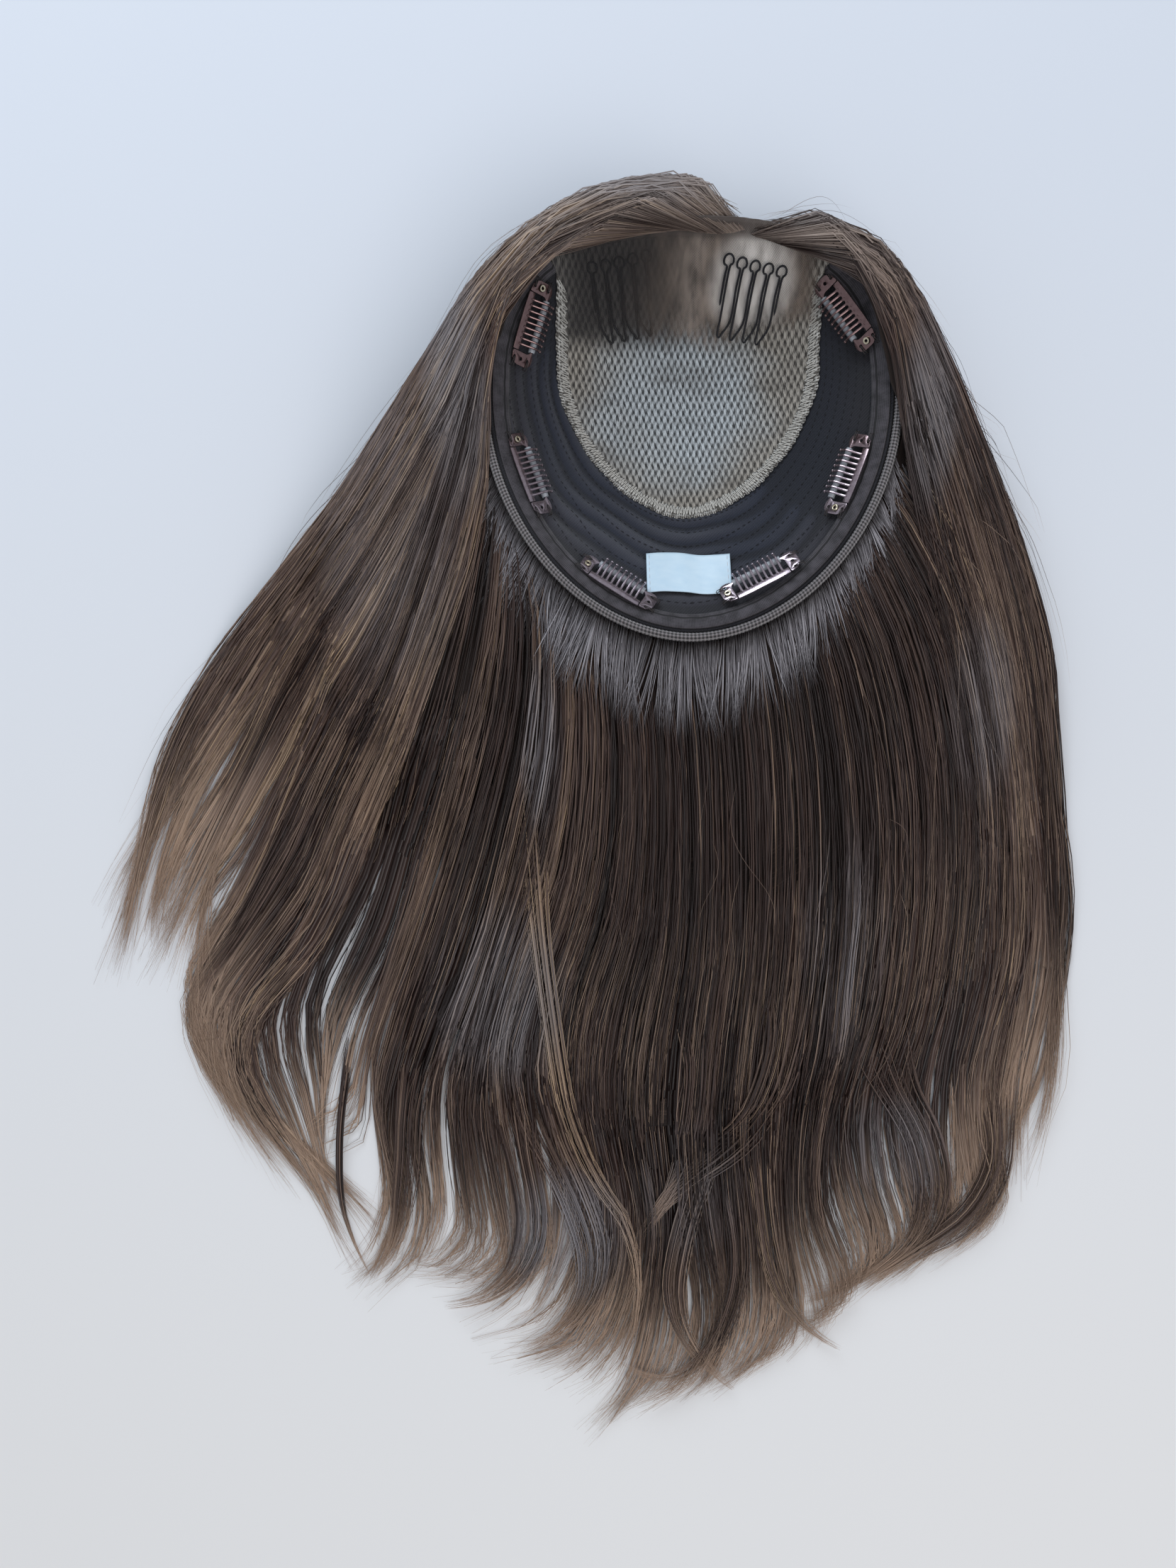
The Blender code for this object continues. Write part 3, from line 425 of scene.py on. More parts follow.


# %% [markdown]
# ## The stretch fabric
# The back and sides of the cap are a black-brown knit that gathers in soft folds between
# the silk top and the rim. The folds are real shape here, waves across the cloth that are
# strongest at the back and never quite parallel, and the finish also paints their crests
# lighter and their grooves darker, a painted highlight and painted shade. Three radial seams
# are narrow grooves.

# %% The stretch fabric
SHELL_WALL = 1.2 * MM
GAP = 0.3 * MM
STITCH_ROWS = 9
SEAM_ANGLES = (205, 270, 338)
FOLD_HEIGHT = 2.2 * MM


def shell_angle(u):
    return SHELL_END_ANGLE - (180 + 2 * SHELL_END_ANGLE) * u


def fold_height(angle, v):
    turn = np.mod(angle, 360)
    away = (turn - 238) / 80
    strength = np.clip(np.cos(np.clip(away, -1, 1) * np.pi / 2), 0, 1) ** 0.5
    wander = 0.09 * np.sin(np.radians(turn) * 3 + 0.8) + 0.035 * np.sin(np.radians(turn) * 8)
    share = np.clip(v + wander * (1 - v) * v * 3, 0, 1) / 0.86
    waves = (0.5 - 0.5 * np.cos(2 * np.pi * 5 * share ** 0.9)) ** 1.5
    uneven = 0.65 + 0.35 * np.sin(np.radians(turn) * 4 + share * 7)
    fade = np.clip((1 - share) * 7, 0, 1) * np.clip(share * 8, 0, 1)
    return FOLD_HEIGHT * strength * waves * fade * uneven


def seam_groove(angle, v):
    depth = 0.0
    for seam in SEAM_ANGLES:
        off = (np.mod(angle, 360) - seam) * np.pi / 180 * rim_radius(angle) / MM
        depth = depth + np.exp(-(off / 0.5) ** 2) - 0.6 * np.exp(-((np.abs(off) - 1.1) / 0.5) ** 2)
    return -0.35 * MM * depth * np.clip(v * 8, 0, 1) * np.clip((1 - v) * 5, 0, 1)


def shell_point(u, v, lift=0.0):
    angle = shell_angle(u)
    inner, outer = inset_radius(angle) + GAP, rim_radius(angle)
    radius = inner + (outer - inner) * v
    relief = fold_height(angle, v) + seam_groove(angle, v)
    turn = np.radians(angle)
    return on_cap(radius * np.cos(turn), radius * np.sin(turn), relief + lift)


def knit_finish():
    made = new_finish("stretch_fabric", (0.014, 0.0145, 0.021), 0.85, Sheen_Weight=0.12,
                      Sheen_Roughness=0.5)
    x, y, z = coordinates(made)
    weave = sine((x + y) * 9500) + sine((x - y) * 5200) * 0.6
    patches = noise((x, y), 60, 4)
    cool = blend(patches, (0.0070, 0.0100, 0.0220), (0.018, 0.0235, 0.044))
    warm = blend(patches, (0.013, 0.012, 0.017), (0.028, 0.026, 0.036))
    colour = blend(soft_step(z, 26 * MM, 42 * MM), cool, warm)
    tree = made.node_tree
    marked = tree.nodes.new("ShaderNodeAttribute")
    marked.attribute_name = "fold"
    fold = Value(tree, marked.outputs["Fac"])
    # Painted highlight: the fold crests are painted lighter.
    colour = blend(fold * 0.60, colour, (0.085, 0.088, 0.110))
    # Painted shade: the fold grooves are painted darker.
    colour = blend(soft_step(fold, 0.10, -0.01) * 0.55, colour, (0.0035, 0.0040, 0.0070))
    return paint(made, colour, weave, 0.5, 0.0003)


def mark_fold_shading(piece):
    """Stores how high each point stands in its fold, for the finish's painted highlight on the crests and painted
    shade in the grooves.
    """
    co = np.empty(3 * len(piece.data.vertices), np.float32)
    piece.data.vertices.foreach_get("co", co)
    x, y = co.reshape(-1, 3)[:, 0] - CAP_X, co.reshape(-1, 3)[:, 1] - CAP_Y
    angle = np.degrees(np.arctan2(y, x))
    inner, outer = inset_radius(angle) + GAP, rim_radius(angle)
    v = np.clip((np.hypot(x, y) - inner) / (outer - inner), 0, 1)
    layer = piece.data.attributes.new("fold", "FLOAT", "POINT")
    layer.data.foreach_set("value", (fold_height(angle, v) / FOLD_HEIGHT).astype(np.float32))


fabric = shaped_grid("cap_fabric", 180, 44, shell_point, knit_finish(), SHELL_WALL)
mark_fold_shading(fabric)
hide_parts("cap_shell")
print("stretch fabric", round(sheet_area(fabric), 4), "square metres")

# %% [markdown]
# ## Thread, cord and wire
# Stitches, wires and the overlock edge are all thin round stock along a path. One function
# sweeps a ring of sides along many paths at once, with arrays, and closes both ends. It is
# the same one that makes the hair later.

# %% Thread, cord and wire


def swept_mesh(name, paths, radii, sides, tones=None):
    """One mesh of closed tubes: paths is (tubes, rings, 3), radii is (tubes, rings)."""
    tubes, rings, _ = paths.shape
    along = np.gradient(paths, axis=1)
    along /= np.linalg.norm(along, axis=2, keepdims=True) + 1e-12
    up = np.array([0.0, 0.0, 1.0])
    side = np.cross(along, up)
    flat = np.linalg.norm(side, axis=2, keepdims=True)
    side = np.where(flat > 1e-4, side / (flat + 1e-12), np.array([1.0, 0.0, 0.0]))
    other = np.cross(side, along)
    turns = 2 * np.pi * (np.arange(sides) + 0.25) / sides
    ring = (side[:, :, None] * np.cos(turns)[:, None] + other[:, :, None] * np.sin(turns)[:, None])
    points = paths[:, :, None] + ring * radii[:, :, None, None]
    start = np.arange(tubes)[:, None, None] * rings * sides
    level = np.arange(rings - 1)[None, :, None] * sides
    here = np.arange(sides)[None, None, :]
    after = (here + 1) % sides
    quads = np.stack([start + level + here, start + level + sides + here,
                      start + level + sides + after, start + level + after], -1)
    first = (np.arange(tubes)[:, None] * rings * sides + np.arange(sides)[None, :])
    last = first[:, ::-1] + (rings - 1) * sides
    loops = np.concatenate([quads.reshape(-1), first.reshape(-1), last.reshape(-1)])
    sizes = np.concatenate([np.full(quads.size // 4, 4), np.full(2 * tubes, sides)])
    mesh = bpy.data.meshes.new(name)
    mesh.vertices.add(points.size // 3)
    mesh.vertices.foreach_set("co", points.astype(np.float32).ravel())
    mesh.loops.add(len(loops))
    mesh.loops.foreach_set("vertex_index", loops.astype(np.int32))
    mesh.polygons.add(len(sizes))
    starts = np.concatenate([[0], np.cumsum(sizes)[:-1]])
    mesh.polygons.foreach_set("loop_start", starts.astype(np.int32))
    mesh.update(calc_edges=True)
    tone = np.zeros(tubes) if tones is None else tones
    uv = np.empty((len(loops), 2), np.float32)
    uv[:, 0] = tone[loops // (rings * sides)] * (0.86 + 0.14 * (loops % sides == 1))
    uv[:, 1] = (loops // sides % rings) / (rings - 1)
    mesh.uv_layers.new(name="UVMap").data.foreach_set("uv", uv.ravel())
    mesh.shade_smooth()
    return mesh


def spline(rows, at):
    """Places on a smooth curve through rows that are one step apart."""
    rows = np.asarray(rows, float)
    index = np.clip(at.astype(int), 0, len(rows) - 2)
    t = (at - index)[:, None]
    before, low = rows[np.maximum(index - 1, 0)], rows[index]
    high, after = rows[index + 1], rows[np.minimum(index + 2, len(rows) - 1)]
    bend = (2 * before - 5 * low + 4 * high - after) * t ** 2
    bend = bend + (3 * low - before - 3 * high + after) * t ** 3
    return 0.5 * (2 * low + (high - before) * t + bend)


def even_path(points, count):
    """A smooth curve through the points, cut into equal lengths."""
    curve = spline(points, np.linspace(0, len(points) - 1, 24 * len(points)))
    length = np.concatenate([[0], np.cumsum(np.linalg.norm(np.diff(curve, axis=0), axis=1))])
    wanted = np.linspace(0, length[-1], count)
    return np.stack([np.interp(wanted, length, curve[:, i]) for i in range(3)], -1)


# %% [markdown]
# ## Stitched rows
# The fabric is held by dashed rows that run round it, parallel to the rim. A dash is a short
# closed tube, thick in the middle, sunk a little into the cloth.

# %% Stitched rows


def make_stitches():
    dashes = []
    for row in range(STITCH_ROWS):
        v = 0.07 + 0.80 * row / (STITCH_ROWS - 1)
        count = int(85 + 45 * v)
        middles = (np.arange(count) + 0.5) / count + 0.002 * row
        half = 0.27 / count
        share = np.linspace(-1, 1, 3)
        u = middles[:, None] + half * share[None, :]
        keep = (u.min(1) > 0.01) & (u.max(1) < 0.99)
        wander = 0.006 * np.sin(u * 23 + row)
        dashes.append(shell_point(u[keep], v + wander[keep], 0.09 * MM))
    paths = np.concatenate(dashes)
    radii = np.tile(np.array([0.08, 0.20, 0.08]) * MM, (len(paths), 1))
    thread = new_finish("dark_thread", (0.006, 0.006, 0.009), 0.75)
    made = put_in_scene("cap_stitches", swept_mesh("cap_stitches", paths, radii, 4), thread)
    print("stitches", len(paths))
    return made


stitches = make_stitches()

# %% [markdown]
# ## The silk top
# The middle of the cap is a greige silk knit with tall zigzag loops. The loops are too fine
# to model one by one, so a formula draws them: columns 1.25 mm apart, each a chain of pointed
# ovals, every other column half a step on. The same formula is colour and bump.

# %% The silk top
BAND_LIFT = 2.54 * MM
LOOP_PITCH = 1.25 * MM
LOOP_LENGTH = 2.70 * MM
THREAD_PITCH = 0.62 * MM


def top_point(u, v):
    """v runs from the middle of the cap to the silk's edge, and u once round."""
    angle = np.mod(90 + 360 * u, 360)
    open_front = (angle > SHELL_END_ANGLE) & (angle < 180 - SHELL_END_ANGLE)
    edge = np.where(open_front, rim_radius(angle), inset_radius(angle) - GAP)
    edge = np.minimum(edge, rim_radius(angle))
    radius = edge * (1 - v)
    turn = np.radians(angle)
    ripple = 0.25 * MM * np.sin(radius / MM * 0.21 + 2 * np.sin(turn * 3)) * v
    return on_cap(radius * np.cos(turn), radius * np.sin(turn), ripple * 0.6)


def silk_finish():
    made = new_finish("silk_mesh", (0.34, 0.33, 0.32), 0.75, Sheen_Weight=0.15)
    x, y, _ = coordinates(made)
    bent = noise((x, y), 140) * 0.0016 + x
    knot = cosine(bent * (math.pi / LOOP_PITCH)) * cosine(y * (math.pi / LOOP_LENGTH))
    zigzag = sine(y * (math.tau / LOOP_LENGTH))
    thread = sine(bent * (math.tau / THREAD_PITCH) + zigzag * 1.1)
    fibre = noise((x, y * 0.4), 1500)
    lit = knot * 0.40 + thread * 0.20 + (fibre * 0.7 + 0.12)
    cloud_noise = noise((x, y), 38, 3)
    # Painted light: the silk is greige at its edge and painted paler and cooler towards the middle of the bowl, a
    # painted pool of the sky's light.
    painted_light_middle = (CAP_X - 3 * MM, CAP_Y + 6 * MM)
    far = far_from(x, y, painted_light_middle, (INSET_HALF_WIDTH, 46 * MM)) + (cloud_noise * 0.9 - 0.45)
    edge = soft_step(far, 0.10, 0.80)
    light = blend(edge, (0.58, 0.63, 0.67), (0.40, 0.37, 0.33))
    dark = blend(edge, (0.030, 0.034, 0.039), (0.026, 0.021, 0.017))
    colour = blend(soft_step(lit, 0.14, 0.78), dark, light)
    shade = noise((x * 0.6, y * 1.3), 52, 3)
    colour = blend(soft_step(shade, 0.50, 0.72) * 0.45, colour, (0.060, 0.052, 0.046))
    # Painted shadow: the silk under the left of the lace is painted dark, where the hair above shades it.
    shadow_under_lace = soft_step(y, CAP_Y + 21 * MM, CAP_Y + 33 * MM)
    shadow_under_lace = shadow_under_lace * soft_step(x, CAP_X + 14 * MM, CAP_X - 14 * MM)
    colour = blend(shadow_under_lace * 0.70, colour, (0.020, 0.0185, 0.0215))
    return paint(made, colour, lit, 0.6, 0.0005)


silk = shaped_grid("silk_top", 120, 30, top_point, silk_finish(), 1.0 * MM, loop=True,
                   caps=False)
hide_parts("lace_top")
print("silk top", round(sheet_area(silk), 4), "square metres")

# %% [markdown]
# ## The scalloped border
# Silk and fabric are joined under a cream ribbon with a scalloped edge, oversewn in a zigzag.
# The ribbon is a grid whose two edges swing in and out, and the zigzag is one long thread.

# %% The scalloped border
BORDER_WIDTH = 6.0 * MM
SCALLOPS = 74


def ribbon_middle(angle):
    return inset_radius(angle) - 0.4 * MM


def ribbon_point(u, v):
    angle = shell_angle(u)
    swing = 0.62 * MM * np.abs(np.sin(np.pi * SCALLOPS * u)) + 0.25 * MM * np.sin(u * 61)
    width = BORDER_WIDTH / 2 - 0.7 * MM + swing
    radius = ribbon_middle(angle) + (2 * v - 1) * width
    hump = 0.35 * MM * np.sin(np.pi * v) * (0.7 + 0.3 * np.sin(2 * np.pi * SCALLOPS * u))
    turn = np.radians(angle)
    return on_cap(radius * np.cos(turn), radius * np.sin(turn), 0.9 * MM + hump)


def ribbon_finish():
    made = new_finish("scalloped_ribbon", (0.46, 0.42, 0.36), 0.85, Sheen_Weight=0.2)
    u, v, _ = coordinates(made, "UV")
    x, y, _ = coordinates(made)
    height = sine(u * (math.tau * SCALLOPS * 3)) + sine(v * (math.tau * 4)) * 0.7
    spots = noise((x, y), 420, 3)
    base = ramp(spots, (0.36, (0.12, 0.110, 0.098)), (0.60, (0.80, 0.79, 0.76)))
    colour = blend(soft_step(height, -1.4, 0.6), (0.070, 0.062, 0.054), base)
    return paint(made, colour, spots * 3.0 + height, 0.7, 0.0005)


def make_zigzag(material):
    """The overlock thread: from side to side of the ribbon, round the whole U."""
    passes = 4 * SCALLOPS
    u = (np.arange(passes + 1) + 0.5) / (passes + 2)
    angle = shell_angle(u)
    side = np.where(np.arange(passes + 1) % 2 == 0, 1.0, -1.0)
    radius = ribbon_middle(angle) + (side * draws.uniform(1.2, 2.5, passes + 1)) * MM
    turn = np.radians(angle)
    points = on_cap(radius * np.cos(turn), radius * np.sin(turn), 1.45 * MM)
    path = even_path(points, 4 * passes)
    radii = np.full((1, len(path)), 0.17 * MM)
    mesh = swept_mesh("border_zigzag", path[None], radii, 4)
    return put_in_scene("border_zigzag", mesh, material)


ribbon = shaped_grid("border_ribbon", 450, 6, ribbon_point, ribbon_finish(), 0.5 * MM)
zigzag = make_zigzag(new_finish("cream_thread", (0.66, 0.64, 0.60), 0.8))
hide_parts("inset_border")
print("border ribbon", round(sheet_area(ribbon), 5), "square metres")

# %% [markdown]
# ## The lace front
# A sheer tan lace covers the hairline, with one diagonal fold below the parting. It is thin
# enough for the comb behind it to show, so its finish lets a share of the light through. Its
# colour holds painted light: painted shadow on the left, and a painted patch of light round
# the right comb.

# %% The lace front
BAND_HALF_WIDTH = 51.0 * MM


def band_point(u, v):
    across = 2 * u - 1
    x = across * BAND_HALF_WIDTH
    low = 0.026 + 0.006 * across - 0.004 * np.exp(-((across - 0.22) / 0.20) ** 2)
    high = CAP_FRONT * (1 - (np.abs(x) / CAP_HALF_WIDTH) ** 2.6) ** (1 / 2.6) + 1.6 * MM
    y = low + (high - low) * v
    fold = np.exp(-((x - 0.018 - (y - 0.030) * 0.5) / 0.0022) ** 2) * np.clip((0.055 - y) / 0.02, 0, 1)
    ripple = 0.25 * np.sin(x / MM * 0.55 + y / MM * 0.12) + 0.3 * np.sin(y / MM * 0.5 + x / MM * 0.1)
    pleats = 0.10 * np.sin(x / MM * 4.2) * np.clip((v - 0.82) / 0.06, 0, 1)
    lift = BAND_LIFT + (0.40 * ripple + 0.7 * fold + pleats + 0.3) * MM
    return on_cap(x, y, lift)


def lace_finish():
    made = new_finish("fine_lace", (0.30, 0.24, 0.20), 0.5, Sheen_Weight=0.2)
    x, y, _ = coordinates(made)
    u, v, _ = coordinates(made, "UV")
    net = sine(x * (math.tau / (0.62 * MM))) * sine(y * (math.tau / (0.74 * MM)))
    blot = noise((x, y * 0.35), 330, 4)
    cloud = noise((x, y), 60)
    # Painted shade: the lace is painted dark on the left, in the hair's shadow, and tan towards the right.
    side = soft_step(cloud * 0.012 + x, CAP_X - 24 * MM, CAP_X + 24 * MM)
    base = ramp(side, (0.0, (0.020, 0.016, 0.017)), (0.45, (0.165, 0.125, 0.100)),
                (0.75, (0.38, 0.31, 0.265)), (1.0, (0.25, 0.190, 0.150)))
    # Painted highlight: a pale patch of light is painted round the right comb.
    patch = far_from(x, y, (CAP_X + 24 * MM, CAP_Y + 46 * MM), (17 * MM, 18 * MM))
    painted_shine = soft_step(patch, 1.25, 0.1)
    base = blend(painted_shine, base, (0.90, 0.85, 0.81))
    base = blend(soft_step(v, 0.84, 0.92), base, (0.060, 0.042, 0.036))
    weave = net * 0.30 + blot
    dark = blend(side, (0.010, 0.008, 0.009), (0.070, 0.053, 0.044))
    dark = blend(painted_shine * 0.8, dark, (0.45, 0.41, 0.38))
    colour = blend(soft_step(weave, 0.15, 0.75), dark, base)
    hem = blot * 0.40 + (v - 0.24)
    ends = calc("MINIMUM", u, 1.0 - u) * 3.5 - 0.02
    most = calc("MAXIMUM", side * 0.52 + 0.30, soft_step(v, 0.84, 0.90) * 0.95)
    veil = soft_step(calc("MINIMUM", hem, ends), -0.04, 0.36) * most
    feed(made.node_tree.nodes["Principled BSDF"].inputs["Alpha"], veil)
    return paint(made, colour, weave, 0.5, 0.0004, 0.62 - side * 0.26)


lace = shaped_grid("lace_strip", 90, 32, band_point, lace_finish(), 0.4 * MM, 1.0)
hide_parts("lace_front")
print("lace front", round(sheet_area(lace), 5), "square metres")

# %% [markdown]
# ## Rim tape and braided binding
# A flat ribbed tape is sewn inside the rim, and a tube of braid caps the edge. A braid is
# two sets of yarns that wind opposite ways, so its radius is a product of two slanted waves.

# %% Rim tape and braided binding
BINDING_RADIUS = 1.6 * MM
BINDING_OUT = 2.4 * MM
BINDING_UP = 0.6 * MM
BRAID_YARNS = 4
BRAID_TURN = 2.3


def tape_point(u, v):
    angle = shell_angle(u)
    outer = rim_radius(angle) - 0.4 * MM
    inner = np.maximum(rim_radius(angle) - 6.0 * MM, inset_radius(angle) + 2.8 * MM)
    radius = inner + (outer - inner) * v
    pucker = 0.12 * MM * np.sin(u * 330) * np.sin(np.pi * v)
    turn = np.radians(angle)
    return on_cap(radius * np.cos(turn), radius * np.sin(turn), 0.55 * MM + pucker)


def tape_finish():
    made = new_finish("rim_tape", (0.03, 0.026, 0.027), 0.9, Sheen_Weight=0.1)
    u, v, _ = coordinates(made, "UV")
    x, y, _ = coordinates(made)
    run, turn = u * (math.tau * 330), v * (math.tau * 5)
    net = sine(run + turn) * sine(run - turn)
    cloud_noise = noise((x, y), 260, 3)
    seam = calc("ABSOLUTE", v - 0.30)
    shade = (net * 0.25 + cloud_noise) * soft_step(seam, 0.01, 0.09)
    colour = blend(soft_step(shade, 0.1, 0.85), (0.011, 0.010, 0.012), (0.080, 0.072, 0.084))
    return paint(made, colour, shade, 0.7, 0.0004)


def binding_point(u, v):
    angle = shell_angle(u)
    winding = 2 * np.pi * v
    length = u * 0.40 / MM
    turn, run = BRAID_YARNS * winding, BRAID_TURN * length
    yarn = np.cos(turn + run) * np.cos(turn - run)
    radius = BINDING_RADIUS * (0.97 + 0.06 * yarn)
    centre_out = BINDING_OUT + radius * np.cos(winding)
    height = RIM_HEIGHT + BINDING_UP + radius * np.sin(winding)
    return rim_point(angle, centre_out, height)


def braid_finish():
    made = new_finish("braided_binding", (0.10, 0.085, 0.082), 0.7, Sheen_Weight=0.4)
    u, v, _ = coordinates(made, "UV")
    turn, run = v * (math.tau * BRAID_YARNS), u * (400 * BRAID_TURN)
    yarn = cosine(turn + run) * cosine(turn - run)
    colour = ramp(yarn * 0.5 + 0.5, (0.25, (0.014, 0.012, 0.013)), (0.80, (0.25, 0.220, 0.230)))
    return paint(made, colour, yarn, 0.8, 0.0006)


tape = shaped_grid("rim_tape_cloth", 300, 5, tape_point, tape_finish(), 0.7 * MM, 1.0)
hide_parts("rim_tape")
binding = shaped_grid("rim_braid", 850, 12, binding_point, braid_finish(), loop=True)
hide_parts("rim_binding")
print("tape", round(sheet_area(tape), 5), "square metres")

# %% [markdown]
# ## The label
# A small satin label is caught by its two short ends, so its middle lifts in a shallow wave.
# It is left bare. Its ends are folded on the real label, and here a few stitches finish it.

# %% The label
LABEL_WIDTH = 33 * MM
LABEL_HEIGHT = 16.5 * MM
LABEL_MIDDLE = -65.5 * MM


def label_point(u, v):
    wave = 0.55 * np.sin(np.pi * 2 * u + 0.6) + 0.35 * np.sin(np.pi * 5 * u + v)
    x = LABEL_WIDTH * (u - 0.5)
    y = LABEL_MIDDLE + LABEL_HEIGHT * (v - 0.5) + 0.5 * MM * np.sin(np.pi * 2 * u)
    free = np.sin(np.pi * u)
    return on_cap(x, y, (1.75 + 0.45 * free * (1 + wave)) * MM)


def satin_finish():
    made = new_finish("label_satin", (0.62, 0.76, 0.88), 0.42, Sheen_Weight=0.1)
    u, v, _ = coordinates(made, "UV")
    # Painted light: the white satin is painted a cool pale blue in soft clouds, a painted tint of the sky light on
    # it.
    colour = blend(noise((u, v), 6), (0.50, 0.68, 0.83), (0.66, 0.80, 0.91))
    return paint(made, colour, sine(u * (math.tau * 120)), 0.12, 0.0001)


def make_label_stitches():
    sides = []
    for u in (0.035, 0.965):
        v = (np.arange(6) + 0.5) / 6
        ends = np.stack([v - 0.055, v - 0.02, v + 0.02, v + 0.055], 1)
        sides.append(label_point(np.full_like(ends, u), ends))
    paths = np.concatenate(sides)
    paths[:, :, 2] += 0.45 * MM
    radii = np.tile(np.array([0.05, 0.16, 0.16, 0.05]) * MM, (len(paths), 1))
    thread = new_finish("white_thread", (0.62, 0.66, 0.72), 0.6)
    mesh = swept_mesh("label_stitches", paths, radii, 5)
    return put_in_scene("label_stitches", mesh, thread)


label = shaped_grid("label_cloth", 60, 24, label_point, satin_finish(), 0.35 * MM, 1.0)
label_stitches = make_label_stitches()
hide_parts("label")
print("label", round(sheet_area(label), 6), "square metres")

# %% [markdown]
# ## Wire combs
# Each comb is one coated wire that serpentines: a round eye at the top, two close strands,
# a narrow tip, and on to the next eye. A few points per eye are enough, because the sweep
# follows a smooth curve through them.

# %% Wire combs
WIRE_RADIUS = 0.42 * MM
COMB_LOOPS = 5
COMB_PITCH = 5.2 * MM
COMB_LENGTH = 25 * MM
COMB_LEAN = -3.5 * MM
COMB_SPLIT = 0.58 * MM
EYE_RADIUS = 1.9 * MM
EYE_DROP = 1.2 * MM
EYES_ALONG = 56 * MM


def comb_points(start_x, hand, lift):
    route = []
    neck = math.asin(COMB_SPLIT / EYE_RADIUS)
    tip_half = COMB_PITCH / 2 - COMB_SPLIT
    for loop in range(COMB_LOOPS):
        x, y = loop * COMB_PITCH, loop * -EYE_DROP
        if loop == 0:
            route += [(x - COMB_SPLIT + COMB_LEAN * t, y - COMB_LENGTH * t) for t in (0.55, 0.2)]
        for turn in np.linspace(-math.pi / 2 - neck, -5 * math.pi / 2 + neck, 9):
            route.append((x + EYE_RADIUS * math.cos(turn), y + EYE_RADIUS * math.sin(turn)))
        if loop == COMB_LOOPS - 1:
            route += [(x + COMB_SPLIT + COMB_LEAN * t, y - COMB_LENGTH * t) for t in (0.2, 0.55)]
            break
        route += [(x + COMB_SPLIT + COMB_LEAN * t, y - COMB_LENGTH * t) for t in (0.3, 0.7)]
        tip_x = x + COMB_SPLIT + COMB_LEAN + tip_half * 0.35
        route.append((tip_x - tip_half * 0.35, y - COMB_LENGTH * 0.95))
        route.append((tip_x, y - COMB_LENGTH))
        route.append((tip_x + tip_half * 0.5, y - COMB_LENGTH * 0.95))
        after = x + COMB_PITCH - COMB_SPLIT
        route += [(after + COMB_LEAN * t, y - EYE_DROP - COMB_LENGTH * t) for t in (0.7, 0.3)]
    flat = np.array(route)
    return on_cap(start_x + hand * flat[:, 0], EYES_ALONG + flat[:, 1], lift)


def make_comb(name, node, start_x, hand, lift, material):
    path = even_path(comb_points(start_x, hand, lift), 520)
    radii = np.full((1, len(path)), WIRE_RADIUS)
    radii[0, :2] *= 0.6
    radii[0, -2:] *= 0.6
    made = put_in_scene(name, swept_mesh(name, path[None], radii, 8), material)
    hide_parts(node)


def wire_finish():
    made = new_finish("comb_wire", (0.004, 0.004, 0.006), 0.42, Specular_IOR_Level=0.35)
    return flecked(made, coordinates(made)[:2], 900, (0.003, 0.003, 0.005), (0.010, 0.010, 0.014),
                   0.15, 0.0001)


wire = wire_finish()
make_comb("comb_right", "wire_comb_right", 15.0 * MM, 1, 4.75 * MM, wire)
make_comb("comb_left", "wire_comb_left", -16.5 * MM, -1, 1.52 * MM, wire)
print("combs of", COMB_LOOPS, "loops")

# %% [markdown]
# ## Snap clips
# A snap clip is one stamping of thin spring steel, enamelled brown: a wide outer bar with
# nine teeth, two end plates with sewing holes, and a narrow bar in a silicone sleeve. The
# frame gives each clip's hinge line and the normal of its plate, and from those two comes
# the clip's own place, with u along the hinge and v towards the teeth.

# %% Places of the snap clips
CLIP_LENGTH = 32 * MM
CLIP_PLATE = 4.9 * MM
CLIP_OUTER_EDGE = -5.6 * MM
CLIP_INNER_EDGE = 4.6 * MM
CLIP_ROOT = -2.6 * MM
CLIP_SHEET = 0.6 * MM
CLIP_BAR_MIDDLE = 3.4 * MM
CLIP_TEETH = 9
CLIP_PITCH = 2.1 * MM
HALF_CLIP = CLIP_LENGTH / 2
WINDOW = HALF_CLIP - CLIP_PLATE
HOLE_X = HALF_CLIP - CLIP_PLATE / 2
HOLE_Y = (CLIP_OUTER_EDGE + CLIP_INNER_EDGE) / 2


def clip_places():
    found = {}
    plates = {mount["name"]: mount for mount in frame["record"]["mounts"]}
    for joint in frame["joints"]:
        name = joint["name"].replace("snap_", "")
        u = Vector(joint["axis"]).normalized()
        w = Vector(plates[f"clip_{name}_plate"]["axis"]).normalized()
        v = w.cross(u)
        origin = Vector(joint["pos_m"]) - v * CLIP_OUTER_EDGE
        axes = Matrix((u, v, w)).transposed().to_4x4()
        found[name] = Matrix.Translation(origin) @ axes
    return found


CLIPS = clip_places()
print("clips at", sorted(CLIPS))

# %% [markdown]
# The end plates and the narrow bar are one flat outline with holes. A 2D curve fills such an
# outline and rounds its edges with a small bevel, and it is turned into a mesh afterwards.

# %% The sewn frame of a clip


def round_loop(x, y, radius, sides=20):
    turns = [math.tau * i / sides for i in range(sides)]
    return [(x + radius * math.cos(t), y + radius * math.sin(t)) for t in turns]


def rounded(points, radius, steps=4):
    """A closed outline with its corners eased."""
    made = []
    count = len(points)
    for i in range(count):
        before, here, after = (Vector(points[(i + k) % count]) for k in (-1, 0, 1))
        cut = min(radius, (before - here).length * 0.45, (after - here).length * 0.45)
        first = here + (before - here).normalized() * cut
        last = here + (after - here).normalized() * cut
        for step in range(steps + 1):
            t = step / steps
            made.append((first * (1 - t) + here * t).lerp(here * (1 - t) + last * t, t))
    return [(p.x, p.y) for p in made]


